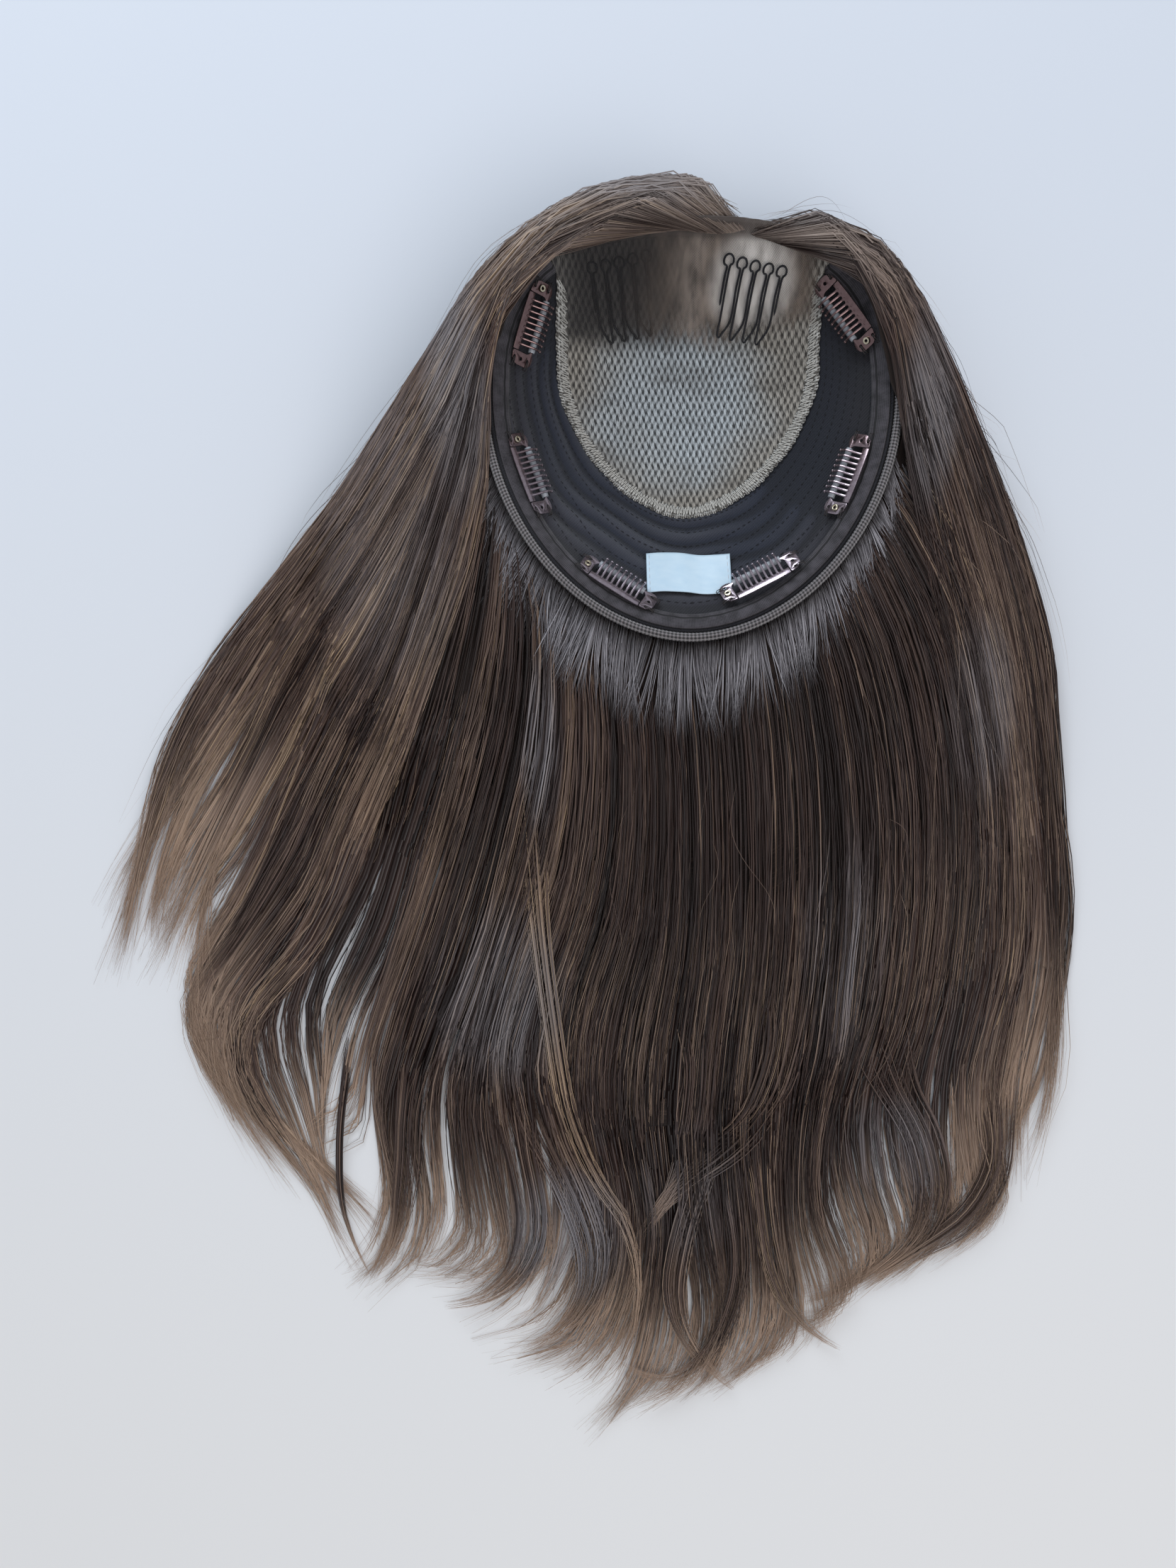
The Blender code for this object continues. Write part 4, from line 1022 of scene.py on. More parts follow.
def mesh_of_outline(name, loops, thickness, rim):
    curve = bpy.data.curves.new(name, "CURVE")
    curve.dimensions = "2D"
    curve.fill_mode = "BOTH"
    curve.extrude = thickness / 2 - rim
    curve.bevel_depth = rim
    curve.bevel_resolution = 1
    curve.offset = -rim
    for loop in loops:
        spline = curve.splines.new("POLY")
        spline.points.add(len(loop) - 1)
        spline.use_cyclic_u = True
        for point, (x, y) in zip(spline.points, loop):
            point.co = (x, y, 0.0, 1.0)
    holder = bpy.data.objects.new(name, curve)
    bpy.context.scene.collection.objects.link(holder)
    bpy.context.view_layer.update()
    graph = bpy.context.evaluated_depsgraph_get()
    mesh = bpy.data.meshes.new_from_object(holder.evaluated_get(graph))
    bpy.data.objects.remove(holder)
    mesh.transform(Matrix.Translation((0, 0, thickness / 2)))
    work = bmesh.new()
    work.from_mesh(mesh)
    bmesh.ops.remove_doubles(work, verts=work.verts, dist=1e-6)
    bmesh.ops.recalc_face_normals(work, faces=work.faces)
    work.to_mesh(mesh)
    work.free()
    return mesh


def clip_frame_loops():
    low_bar, high_bar = CLIP_BAR_MIDDLE - 0.45 * MM, CLIP_BAR_MIDDLE + 0.45 * MM
    right = [(WINDOW, CLIP_OUTER_EDGE + 0.36 * MM), (HALF_CLIP - 1.6 * MM, CLIP_OUTER_EDGE + 1.35 * MM),
             (HALF_CLIP, CLIP_OUTER_EDGE + 3.2 * MM), (HALF_CLIP, CLIP_INNER_EDGE - 1.6 * MM),
             (HALF_CLIP - 1.6 * MM, CLIP_INNER_EDGE), (WINDOW + 0.8 * MM, CLIP_INNER_EDGE),
             (WINDOW - 0.4 * MM, high_bar)]
    left = [(-x, y) for x, y in reversed(right)]
    inner = [(-WINDOW, low_bar - 1.2 * MM), (-WINDOW + 0.8 * MM, low_bar),
             (WINDOW - 0.8 * MM, low_bar), (WINDOW, low_bar - 1.2 * MM)]
    outline = rounded(right + left + inner, 1.0 * MM)
    loops = [outline, round_loop(-HOLE_X, HOLE_Y, 0.9 * MM), round_loop(HOLE_X, HOLE_Y, 0.65 * MM)]
    for x in (-HOLE_X, HOLE_X):
        for y in (-3.2 * MM, 3.2 * MM):
            loops.append(round_loop(x, HOLE_Y + y, 0.65 * MM, 14))
    return loops


# %% [markdown]
# The teeth spring from notches in the wide bar, arch over the sleeve and end in a bead. The
# bar and the teeth bend on the real clip, and here they turn together about the hinge, so
# they are one piece on the moving body.

# %% The wide bar with its teeth


def tooth_path(x):
    """Along a tooth: across the clip and up over the sleeve."""
    route = [(x, CLIP_ROOT - 0.9 * MM, 0.35 * MM), (x, CLIP_ROOT + 0.4 * MM, 0.45 * MM),
             (x, -0.6 * MM, 1.15 * MM), (x, 2.0 * MM, 2.45 * MM), (x, 3.6 * MM, 2.65 * MM),
             (x, 5.0 * MM, 2.25 * MM), (x, 5.9 * MM, 1.8 * MM)]
    return even_path(route, 12)


def make_bar_mesh():
    half = WINDOW - GAP
    teeth = [(i - (CLIP_TEETH - 1) / 2) * CLIP_PITCH for i in range(CLIP_TEETH)]
    bar = [(-half, CLIP_OUTER_EDGE + 0.36 * MM), (-half * 0.5, CLIP_OUTER_EDGE + 0.1 * MM),
           (half * 0.5, CLIP_OUTER_EDGE + 0.1 * MM), (half, CLIP_OUTER_EDGE + 0.36 * MM),
           (half, CLIP_ROOT)]
    for x in reversed(teeth):
        bar += [(x + 0.75 * MM, CLIP_ROOT - 0.1 * MM), (x + 0.5 * MM, CLIP_ROOT + 0.5 * MM),
                (x - 0.5 * MM, CLIP_ROOT + 0.5 * MM), (x - 0.75 * MM, CLIP_ROOT - 0.1 * MM)]
    bar.append((-half, CLIP_ROOT))
    mesh = mesh_of_outline("bar", [bar], CLIP_SHEET, 0.12 * MM)
    paths = np.array([tooth_path(x) for x in teeth])
    radii = np.tile(np.linspace(0.52, 0.40, 12) * MM, (len(teeth), 1))
    prongs = swept_mesh("prongs", paths, radii, 8)
    beads = bmesh.new()
    for x in teeth:
        place = Matrix.Translation((x, 6.0 * MM, 1.75 * MM))
        bmesh.ops.create_uvsphere(beads, u_segments=12, v_segments=8, radius=0.62 * MM, matrix=place)
    work = bmesh.new()
    work.from_mesh(mesh)
    work.from_mesh(prongs)
    ball = bpy.data.meshes.new("beads")
    beads.to_mesh(ball)
    beads.free()
    work.from_mesh(ball)
    joined = bpy.data.meshes.new("bar_with_teeth")
    work.to_mesh(joined)
    work.free()
    return joined


def turned(profile, steps, axis):
    """A ring: a closed profile of radius and height, spun about an axis."""
    work = bmesh.new()
    first = Vector((0, 1, 0)) if axis == "X" else Vector((1, 0, 0))
    along = Vector((1, 0, 0)) if axis == "X" else Vector((0, 0, 1))
    verts = [work.verts.new(first * r + along * h) for r, h in profile]
    edges = [work.edges.new(pair) for pair in zip(verts, verts[1:] + verts[:1])]
    bmesh.ops.spin(work, geom=verts + edges, cent=(0, 0, 0), axis=along, steps=steps,
                   angle=math.tau, use_merge=True)
    bmesh.ops.remove_doubles(work, verts=work.verts, dist=1e-7)
    bmesh.ops.recalc_face_normals(work, faces=work.faces)
    mesh = bpy.data.meshes.new("turned")
    work.to_mesh(mesh)
    work.free()
    return mesh


# %% [markdown]
# Enamel over steel is a glossy dark brown that goes thin and coppery on the edges. The sleeve
# is clear silicone, and the eyelet is rolled brass.

# %% Clip finishes


def enamel_finish():
    """Brown enamel, with a painted reflection of the window: paler and silvery on the clips at the back, which
    face the window.
    """
    made = new_finish("clip_enamel", (0.20, 0.13, 0.13), 0.2, 0.85, Coat_Weight=0.5,
                      Coat_Roughness=0.08)
    place = coordinates(made)
    flecks = noise(place, 700, 3)
    colour = blend(flecks, (0.115, 0.062, 0.062), (0.26, 0.165, 0.165))
    painted_reflection = blend(flecks, (0.22, 0.17, 0.19), (0.52, 0.45, 0.52))
    # Painted reflection: the clips at the back are painted paler, silvery lavender, for the window they mirror.
    colour = blend(soft_step(place[1], CAP_Y + 4 * MM, CAP_Y - 50 * MM), colour, painted_reflection)
    return paint(made, colour, flecks, 0.08, 0.0001, flecks * 0.16 + 0.12)


def silicone_finish():
    made = new_finish("silicone_tube", (0.80, 0.83, 0.87), 0.18, IOR=1.41, Alpha=0.55,
                      Coat_Weight=0.5)
    return flecked(made, coordinates(made), 500, (0.36, 0.38, 0.43), (0.70, 0.74, 0.80), 0.1, 0.0002)


def brass_finish():
    made = new_finish("eyelet_brass", (0.62, 0.52, 0.36), 0.22, 1.0)
    return flecked(made, coordinates(made), 1500, (0.50, 0.42, 0.30), (0.80, 0.74, 0.60), 0.1, 0.0001)


# %% [markdown]
# ## Six clips in their places
# Each clip of the frame is dressed where it lies. The teeth follow the comb solid, so that
# they turn with the hinge, and the narrow bar, the tube and the eyelet stay with the cap.

# %% Make the six clips
STITCH_ASIDE = 3.2 * MM


def place_piece(name, mesh, matrix, material, body, node, angle=40):
    mesh = mesh.copy()
    mesh.transform(matrix)
    mesh.materials.clear()
    mesh.shade_smooth()
    mesh.set_sharp_from_angle(angle=math.radians(angle))
    made = put_in_scene(name, mesh, material, body)
    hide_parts(node)


def stitch_arcs(matrix):
    """Thread that ties the clip's holes to the tape, two turns on each side of a hole."""
    arcs = []
    for x in (-HOLE_X, HOLE_X):
        for y in (-STITCH_ASIDE, STITCH_ASIDE):
            for side in (-0.35, 0.35):
                out = math.copysign(HALF_CLIP + 0.9 * MM, x)
                route = [(x, HOLE_Y + y + side * MM * 0.5, -0.2 * MM),
                         (x, HOLE_Y + y + side * MM * 0.5, 0.75 * MM),
                         ((x + out) / 2, HOLE_Y + y + side * MM, 0.95 * MM),
                         (out, HOLE_Y + y + side * MM * 1.4, 0.6 * MM),
                         (out, HOLE_Y + y + side * MM * 1.4, -0.4 * MM)]
                arcs.append(even_path([matrix @ Vector(p) for p in route], 9))
    return arcs


def make_clips():
    enamel, silicone, brass = enamel_finish(), silicone_finish(), brass_finish()
    frame_mesh = mesh_of_outline("plate", clip_frame_loops(), CLIP_SHEET, 0.12 * MM)
    bar_mesh = make_bar_mesh()
    half = WINDOW - 1.2 * MM
    tube = turned([(0.95 * MM, -half), (1.25 * MM, -half), (1.3 * MM, -half + 0.1 * MM),
                   (1.3 * MM, half - 0.1 * MM), (1.25 * MM, half), (0.95 * MM, half)], 20, "X")
    low = CLIP_SHEET + GAP
    ring = [(0.5, 0.0), (1.35, 0.0), (1.4, 0.15), (1.25, 0.42), (0.95, 0.5), (0.62, 0.4), (0.5, 0.2)]
    eyelet = turned([(r * MM, low + h * MM) for r, h in ring], 24, "Z")
    arcs = []
    for name, matrix in CLIPS.items():
        node = f"clip_{name}"
        place_piece(f"{node}_plate", frame_mesh, matrix, enamel, "root", f"{node}_frame")
        place_piece(f"{node}_teeth", bar_mesh, matrix, enamel, f"teeth_{name}",
                    f"{node}_comb")
        sleeve = matrix @ Matrix.Translation((0, CLIP_BAR_MIDDLE, CLIP_SHEET / 2))
        place_piece(f"{node}_sleeve", tube, sleeve, silicone, "root", f"{node}_tube")
        seat = matrix @ Matrix.Translation((-HOLE_X, HOLE_Y, 0))
        place_piece(f"{node}_ring", eyelet, seat, brass, "root", f"{node}_eyelet")
        arcs += stitch_arcs(matrix)
    paths = np.array(arcs)
    radii = np.full(paths.shape[:2], 0.16 * MM)
    thread = new_finish("clip_thread", (0.030, 0.024, 0.024), 0.6)
    made = put_in_scene("clip_threads", swept_mesh("clip_threads", paths, radii, 5), thread)


make_clips()

# %% [markdown]
# ## How the hair flows
# Hair is easier to direct as a flow than strand by strand. On each side the flow has two
# banks: the outline on the floor, and the rim, then the seam towards the back hair. A
# station s runs from the parting to the tips, and a share runs from outline to rim. Tables
# give the banks, and every strand and every lock is drawn in s and share.

# %% Tables of the hair's flow
CREST_HEIGHT = RIM_HEIGHT + 9 * MM
HAIR_EDGE = 2.5 * MM
LIP_CLEAR = 4.9 * MM
LIP_REACH = 9.9 * MM
FRINGE_TOP = RIM_HEIGHT - 5 * MM
FRINGE_SLOPE = 0.45
HAIR_TUCK = 1.0 * MM

# A row per section: angle on the rim, outline across and along in shares of the hair, share
# of the lip's reach over the rim, share of the crest
LEFT_ROUND = (
    (75, 0.290, 0.955, 0.45, 0.929), (92, 0.160, 0.995, 0.45, 0.982),
    (110, -0.020, 0.975, 0.50, 1.000), (128, -0.200, 0.895, 0.80, 1.000),
    (146, -0.300, 0.770, 1.00, 0.982), (164, -0.385, 0.670, 0.80, 0.946),
    (182, -0.500, 0.545, 0.00, 0.920), (193, -0.565, 0.480, 0.00, 0.804),
    (206, -0.640, 0.400, 0.00, 0.696), (222, -0.720, 0.310, 0.00, 0.696),
)
RIGHT_ROUND = (
    (71, 0.335, 0.940, 0.45, 0.911), (58, 0.410, 0.935, 0.45, 0.973),
    (45, 0.490, 0.930, 0.70, 1.000), (30, 0.575, 0.890, 1.00, 1.000),
    (15, 0.660, 0.820, 1.00, 0.982), (2, 0.715, 0.740, 0.70, 0.946),
    (-10, 0.760, 0.660, 0.00, 0.920), (-21, 0.805, 0.595, 0.00, 0.804),
    (-34, 0.860, 0.500, 0.00, 0.696), (-48, 0.905, 0.400, 0.00, 0.696),
)
# Below the cap: share of the seam, outline across and along, share of the crest
LEFT_FALL = (
    (0.25, -0.860, 0.140, 0.411), (0.50, -0.965, -0.075, 0.304),
    (0.75, -1.030, -0.250, 0.232), (1.00, -1.060, -0.450, 0.143),
)
RIGHT_FALL = (
    (0.25, 0.955, 0.240, 0.411), (0.50, 0.975, 0.000, 0.304), (0.72, 0.997, -0.260, 0.232),
    (0.86, 0.985, -0.450, 0.196), (1.00, 0.930, -0.800, 0.143),
)
BACK_FALL = ((0.00, 0.696), (0.12, 0.429), (0.33, 0.304), (0.55, 0.214), (0.70, 0.143))
# Where the locks end: share across, and how far along the hair
LEFT_ENDS = (
    (0.00, -0.150), (0.12, -0.250), (0.26, -0.240), (0.33, -0.060), (0.40, -0.380),
    (0.48, -0.470), (0.60, -0.550), (0.72, -0.620), (0.86, -0.700), (1.00, -0.790),
)
RIGHT_ENDS = (
    (0.00, -0.390), (0.10, -0.440), (0.20, -0.470), (0.30, -0.640), (0.45, -0.700),
    (0.60, -0.750), (0.80, -0.810), (1.00, -0.860),
)
BACK_ENDS = (
    (0.00, -0.790), (0.12, -0.830), (0.25, -0.880), (0.40, -0.955), (0.50, -0.995),
    (0.65, -0.995), (0.75, -0.955), (0.85, -0.910), (1.00, -0.870),
)
LEFT_SEAM = (222, (-0.462, -0.806))
RIGHT_SEAM = (312, (0.546, -0.930))

# %% [markdown]
# A flow samples its banks once, finely, and then answers for whole arrays of strands: where
# is this station and share, and how high does the hair lie there?

# %% The side flow


def column_at(rows, index, at):
    return np.interp(at, np.arange(len(rows)), [row[index] for row in rows])


def on_hair(share_x, share_y):
    return np.stack([share_x * HAIR_HALF_WIDTH, share_y * HAIR_HALF_LENGTH], -1)


def smooth(value, low, high):
    share = np.clip((value - low) / (high - low), 0, 1)
    return share * share * (3 - 2 * share)


def hill_limit(x, y):
    """The highest that hair lies below the short fringe of the rim."""
    rel_x, rel_y = x - CAP_X, y - CAP_Y
    out = np.hypot(rel_x, rel_y) - rim_radius(np.degrees(np.arctan2(rel_y, rel_x)))
    return FRINGE_TOP - FRINGE_SLOPE * np.minimum(out, 38.7 * MM) - 2 * GAP


class SideFlow:
    """The hair of one side, in stations s and shares from outline to rim and seam."""

    def __init__(self, rounds, falls, ends, seam):
        self.near = len(rounds) - 1
        self.far = self.near + len(falls)
        self.at = np.linspace(0, self.far, 900)
        rows = [(r[1], r[2]) for r in rounds] + [(f[1], f[2]) for f in falls]
        bank = spline(rows, self.at)
        self.outer = on_hair(bank[:, 0], bank[:, 1])
        angle = column_at(rounds, 0, self.at)
        lip = LIP_CLEAR - column_at(rounds, 3, self.at) * LIP_REACH
        rim = rim_point(angle, lip, 0.0)[:, :2]
        down = column_at([(0.0,)] + list(falls), 0, self.at - self.near)
        seam_angle, seam_stop = seam
        top = rim_point(float(seam_angle), -HAIR_TUCK, 0.0)[:2]
        line = top + (on_hair(*seam_stop) - top) * down[:, None]
        start = rim_point(float(seam_angle), LIP_CLEAR, 0.0)[:2]
        join = np.clip(1 - down / 0.12, 0, 1)[:, None]
        line = line + (start - line) * join
        self.inner = np.where((self.at <= self.near)[:, None], rim, line)
        crest = np.concatenate([[r[4] for r in rounds], [f[3] for f in falls]])
        self.crest = np.interp(self.at, np.arange(len(crest)), crest) * CREST_HEIGHT
        self.ends = ends

    def banks(self, s):
        """Both banks at a station. At the parting they start from one point and open out."""
        outer = np.stack([np.interp(s, self.at, self.outer[:, i]) for i in (0, 1)], -1)
        inner = np.stack([np.interp(s, self.at, self.inner[:, i]) for i in (0, 1)], -1)
        opened = np.sqrt(smooth(s, -0.12, 1.0))[..., None]
        return inner + (outer - inner) * opened, inner

    def place(self, s, share):
        outer, inner = self.banks(s)
        return outer + (inner - outer) * share[..., None]

    def height(self, s, share):
        dome = 1 - (1 - np.clip(share, 0, 1)) ** 2.6
        crest = np.interp(s, self.at, self.crest)
        rise = smooth(s, -0.6, 0.7)
        edge = HAIR_EDGE + (0.93 * crest - HAIR_EDGE) * (1 - rise)
        height = edge + (crest - edge) * dome
        fall = np.clip((s - self.near + 3) / (self.far - self.near + 3), 0, 1)
        ridge = 1 - np.abs(2 * np.mod(share * 6, 1) - 1) ** 1.5
        fine = 1 - np.abs(2 * np.mod(share * 17 + 0.3 * np.sin(s), 1) - 1) ** 1.5
        height = height * (1 - fall * (0.36 * (1 - ridge) + 0.16 * (1 - fine)))
        point = self.place(s, share)
        limit = hill_limit(point[..., 0], point[..., 1])
        height = height + (np.minimum(height, limit) - height) * smooth(s, 5.6, 8.0)
        return np.maximum(height, 1.8 * MM)

    def stop(self, share):
        """The station where the hair of this share ends."""
        level = np.interp(share, [e[0] for e in self.ends], [e[1] for e in self.ends])
        found = np.empty(len(share))
        falling = self.at >= self.near
        for i, (part, low) in enumerate(zip(share, level * HAIR_HALF_LENGTH)):
            way = self.outer[falling, 1] + (self.inner - self.outer)[falling, 1] * part
            below = np.nonzero(way <= low)[0]
            found[i] = self.at[falling][below[0]] if len(below) else self.far
        return found


left_flow = SideFlow(LEFT_ROUND, LEFT_FALL, LEFT_ENDS, LEFT_SEAM)
right_flow = SideFlow(RIGHT_ROUND, RIGHT_FALL, RIGHT_ENDS, (RIGHT_SEAM[0] - 360, RIGHT_SEAM[1]))
print("stations", left_flow.far, "left and", right_flow.far, "right")

# %% [markdown]
# The back hair is simpler. It falls from the rim between the two seams, first fanning out
# and then straight down, so its station is just the share of the way down.

# %% The back flow


class BackFlow:
    """The hair that falls from the back of the rim. s runs from 0 at the rim to 1."""

    def __init__(self):
        self.columns = np.linspace(-0.1, 1.1, 121)
        inside = np.clip(self.columns, 0, 1)
        angle = LEFT_SEAM[0] + (RIGHT_SEAM[0] - LEFT_SEAM[0]) * inside
        self.brow = rim_point(angle, LIP_CLEAR, 0.0)[:, :2]
        self.ends = np.interp(inside, [e[0] for e in BACK_ENDS], [e[1] for e in BACK_ENDS])
        self.tops = [rim_point(float(seam[0]), -HAIR_TUCK, 0.0)[:2]
                     for seam in (LEFT_SEAM, RIGHT_SEAM)]
        self.stops = [on_hair(*seam[1]) for seam in (LEFT_SEAM, RIGHT_SEAM)]

    def across(self, y, share):
        edges = []
        for top, stop in zip(self.tops, self.stops):
            edges.append(top[0] + (stop[0] - top[0]) * (top[1] - y) / (top[1] - stop[1]))
        return edges[0] + (edges[1] - edges[0]) * share

    def place(self, s, share):
        brow_x = np.interp(share, self.columns, self.brow[:, 0])
        brow_y = np.interp(share, self.columns, self.brow[:, 1])
        end = np.interp(share, self.columns, self.ends) * HAIR_HALF_LENGTH
        y = brow_y + (end - brow_y) * s
        spread = self.across(y, share)
        x = brow_x + (spread - brow_x) * np.clip(s * 2.5, 0, 1)
        return np.stack([x, y], -1)

    def height(self, s, share):
        point = self.place(s, share)
        top_y = np.interp(share, [0, 1], [self.tops[0][1], self.tops[1][1]])
        down = (top_y - point[..., 1]) / (2 * HAIR_HALF_LENGTH)
        height = np.interp(down, [f[0] for f in BACK_FALL], [f[1] for f in BACK_FALL]) * CREST_HEIGHT
        ridge = 1 - np.abs(2 * np.mod(share * 8, 1) - 1) ** 1.5
        fine = 1 - np.abs(2 * np.mod(share * 23 + 0.4 * np.sin(5 * s), 1) - 1) ** 1.5
        height = height * (1 - s * (0.36 * (1 - ridge) + 0.16 * (1 - fine)))
        height = height * np.minimum(1.0, 0.25 + 3.0 * np.maximum(1 - s, 0))
        limit = hill_limit(point[..., 0], point[..., 1])
        return np.maximum(np.minimum(height, limit), 1.8 * MM)


back_flow = BackFlow()

# %% [markdown]
# ## The body of the hair
# Below the strands lies a closed body, dark as the depth of the hair. It keeps the form of
# the solids in the frame beside the cap, stops before the tips, where strands take over, and
# shows only in the gaps. Its finish is drawn out into streaks along the flow, which the UV
# map carries: u across the hair and v along it.

# %% The body of the hair


def body_finish():
    made = new_finish("hair_depth", (0.020, 0.013, 0.010), 0.62, Specular_IOR_Level=0.3)
    u, v, _ = coordinates(made, "UV")
    streak = noise((u * 90.0, v), 4.0, 5)
    fine = noise((u * 520.0, v), 3.0)
    colour = ramp(streak * fine, (0.15, (0.009, 0.0055, 0.0048)), (0.30, (0.026, 0.0155, 0.0125)),
                  (0.45, (0.110, 0.069, 0.055)))
    return paint(made, colour, fine, 0.6, 0.0008)


SIDE_COLUMNS = 36
SIDE_ROWS = 100
WALL_SHARE = 0.03
BODY_START = 0.6
START_HEIGHT = 0.72
LEFT_EARLY = 2.4
RIGHT_EARLY = 2.1


def closed_section(top, wall=None):
    """A section's outline: the top, the wall at its inner end, and the way back on the floor."""
    if wall is None:
        x, y, crest = top[-1]
        wall = [np.array([x, y, crest * part]) for part in (0.75, 0.5, 0.25, 0.0)]
    back = [wall[-1][:2] * (1 - t) + top[0, :2] * t for t in (0.33, 0.67, 1.0)]
    return np.vstack([top, wall, [np.array([*place, 0.0]) for place in back]])


def near_section(flow, s, foot):
    """A section beside the cap, whose wall goes down at the rim."""
    station = np.full(SIDE_COLUMNS, s)
    share = np.linspace(WALL_SHARE, 1, SIDE_COLUMNS)
    full = START_HEIGHT + (1 - START_HEIGHT) * smooth(s, BODY_START, 2.0)
    top = np.column_stack([flow.place(station, share), flow.height(station, share) * full])
    if s > flow.near:
        return closed_section(top)
    crest = top[-1, 2]
    angle = np.interp(s, np.arange(flow.near + 1), foot)
    under = min(RIM_HEIGHT - 6.5 * MM, crest - GAP)
    return closed_section(top, [rim_point(angle, LIP_CLEAR, max(under, min(crest, 50.2 * MM))),
                                rim_point(angle, LIP_CLEAR, under),
                                rim_point(angle, -HAIR_TUCK, RIM_HEIGHT - 8.5 * MM),
                                rim_point(angle, -HAIR_TUCK, 0.0)])


def far_section(flow, t, reach):
    """A section below the cap. t runs from 0 at the cap to 1 at the body's end."""
    share = np.linspace(WALL_SHARE, 1, SIDE_COLUMNS)
    station = flow.near + (reach - flow.near) * t
    height = flow.height(station, share) * min(1.0, 0.25 + 3.0 * (1 - t))
    return closed_section(np.column_stack([flow.place(station, share),
                                           np.maximum(height, 1.6 * MM)]))


def side_body(name, node, flow, angles, early, material):
    """A closed body of sections. It stops some stations before the strands do."""
    rows, count = SIDE_ROWS, SIDE_COLUMNS + 7
    reach = np.maximum(flow.stop(np.linspace(0, 1, SIDE_COLUMNS)) - early, flow.near + 0.3)

    def place(u, v):
        rank = np.rint(u * count).astype(int) % count
        row = np.rint(v * rows).astype(int)
        sections = []
        for r in range(rows + 1):
            if 2 * r <= rows:
                s = BODY_START + flow.near * 2 * r / rows * (1 - BODY_START / flow.near)
                sections.append(near_section(flow, s, angles))
            else:
                sections.append(far_section(flow, (2 * r - rows) / rows, reach))
        return np.array([sections[r][k] for r, k in zip(row, rank)])

    made = shaped_grid(name, count, rows, place, material, loop=True)
    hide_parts(node)


BACK_REACH = 0.62


def back_body(material):
    columns, rows = 60, 50

    def place(u, v):
        share = np.clip(v, 0, 1)
        ring = np.rint(u * (rows + 5)).astype(int) % (rows + 5)
        s = np.clip((ring - 1) / (rows - 1), 0, 1) * BACK_REACH
        point = back_flow.place(s, share)
        height = back_flow.height(s, share)
        angle = LEFT_SEAM[0] + (RIGHT_SEAM[0] - LEFT_SEAM[0]) * share
        foot = rim_point(angle, -HAIR_TUCK, 0.0)[:, :2]
        made = np.column_stack([point, height])
        tuck = ring == 0
        made[tuck] = np.column_stack([foot, np.full(len(foot), RIM_HEIGHT - 8.5 * MM)])[tuck]
        end = back_flow.place(np.full(len(share), BACK_REACH), share)
        for step in range(4):
            below = ring == rows + 1 + step
            t = step / 3
            flat = end + (foot - end) * t
            made[below] = np.column_stack([flat, np.zeros(len(flat))])[below]
        return made

    made = shaped_grid("hair_body_back", rows + 5, columns, place, material, loop=True)
    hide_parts("hair_back")


depth = body_finish()
side_body("hair_body_left", "hair_left", left_flow, [r[0] for r in LEFT_ROUND], LEFT_EARLY, depth)
side_body("hair_body_right", "hair_right", right_flow, [r[0] for r in RIGHT_ROUND], RIGHT_EARLY, depth)
back_body(depth)
crown = frame["nodes"]["hair_crown"]
crown.data.materials.clear()
crown.data.materials.append(depth)

# %% [markdown]
# Every strand rests on this body. Its height is read once, on a level grid with rays from
# above, and smoothed, so that strands bridge the seams between the solids. A second grid adds
# the cap, for the hair that leaves the hairline and lies over the rim.

# %% Heights under the hair


class Relief:
    """A level grid of heights that answers for whole arrays of places."""

    step = 2 * MM
    low = (-0.212, -0.272)
    size = (213, 273)

    def __init__(self, heights):
        for axis in (0, 1):
            spread = [np.roll(heights, shift, axis) for shift in range(-3, 4)]
            heights = np.max(spread, axis=0)
        kernel = np.exp(-(np.arange(-4, 5) / 1.8) ** 2 / 2)
        kernel /= kernel.sum()
        for axis in (0, 1):
            heights = np.apply_along_axis(np.convolve, axis, heights, kernel, "same")
        self.heights = heights

    def at(self, x, y):
        across = np.clip((x - self.low[0]) / self.step, 0, self.size[0] - 1.001)
        along = np.clip((y - self.low[1]) / self.step, 0, self.size[1] - 1.001)
        i, j = across.astype(int), along.astype(int)
        part, rest = across - i, along - j
        near = self.heights[i, j] * (1 - rest) + self.heights[i, j + 1] * rest
        next_one = self.heights[i + 1, j] * (1 - rest) + self.heights[i + 1, j + 1] * rest
        return near * (1 - part) + next_one * part


def measure_bodies():
    """Heights of the hair's body alone, and of the body with the cap."""
    seen = bpy.context.evaluated_depsgraph_get()
    trees = [BVHTree.FromObject(bpy.data.objects[f"hair_body_{side}"], seen)
             for side in ("left", "right", "back")]
    down = Vector((0, 0, -1))
    heights = np.zeros(Relief.size)
    for i in range(Relief.size[0]):
        for j in range(Relief.size[1]):
            start = Vector((Relief.low[0] + i * Relief.step, Relief.low[1] + j * Relief.step, 0.2))
            hits = [tree.ray_cast(start, down)[0] for tree in trees]
            heights[i, j] = max([hit.z for hit in hits if hit], default=0.0)
    x = Relief.low[0] + np.arange(Relief.size[0])[:, None] * Relief.step
    y = Relief.low[1] + np.arange(Relief.size[1])[None, :] * Relief.step
    angle = np.degrees(np.arctan2(y - CAP_Y, x - CAP_X))
    out = np.hypot(x - CAP_X, y - CAP_Y) - rim_radius(angle)
    capped = np.maximum(heights, np.where(out < 2.5 * MM, RIM_HEIGHT + 1.0 * MM, 0.0))
    front = (angle > 42) & (angle < 125) & (out < 24 * MM)
    capped = np.maximum(capped, np.where(front, RIM_HEIGHT + 3 * MM - 0.3 * np.maximum(out, 0), 0.0))
    return Relief(heights), Relief(capped)


body_relief, capped_relief = measure_bodies()
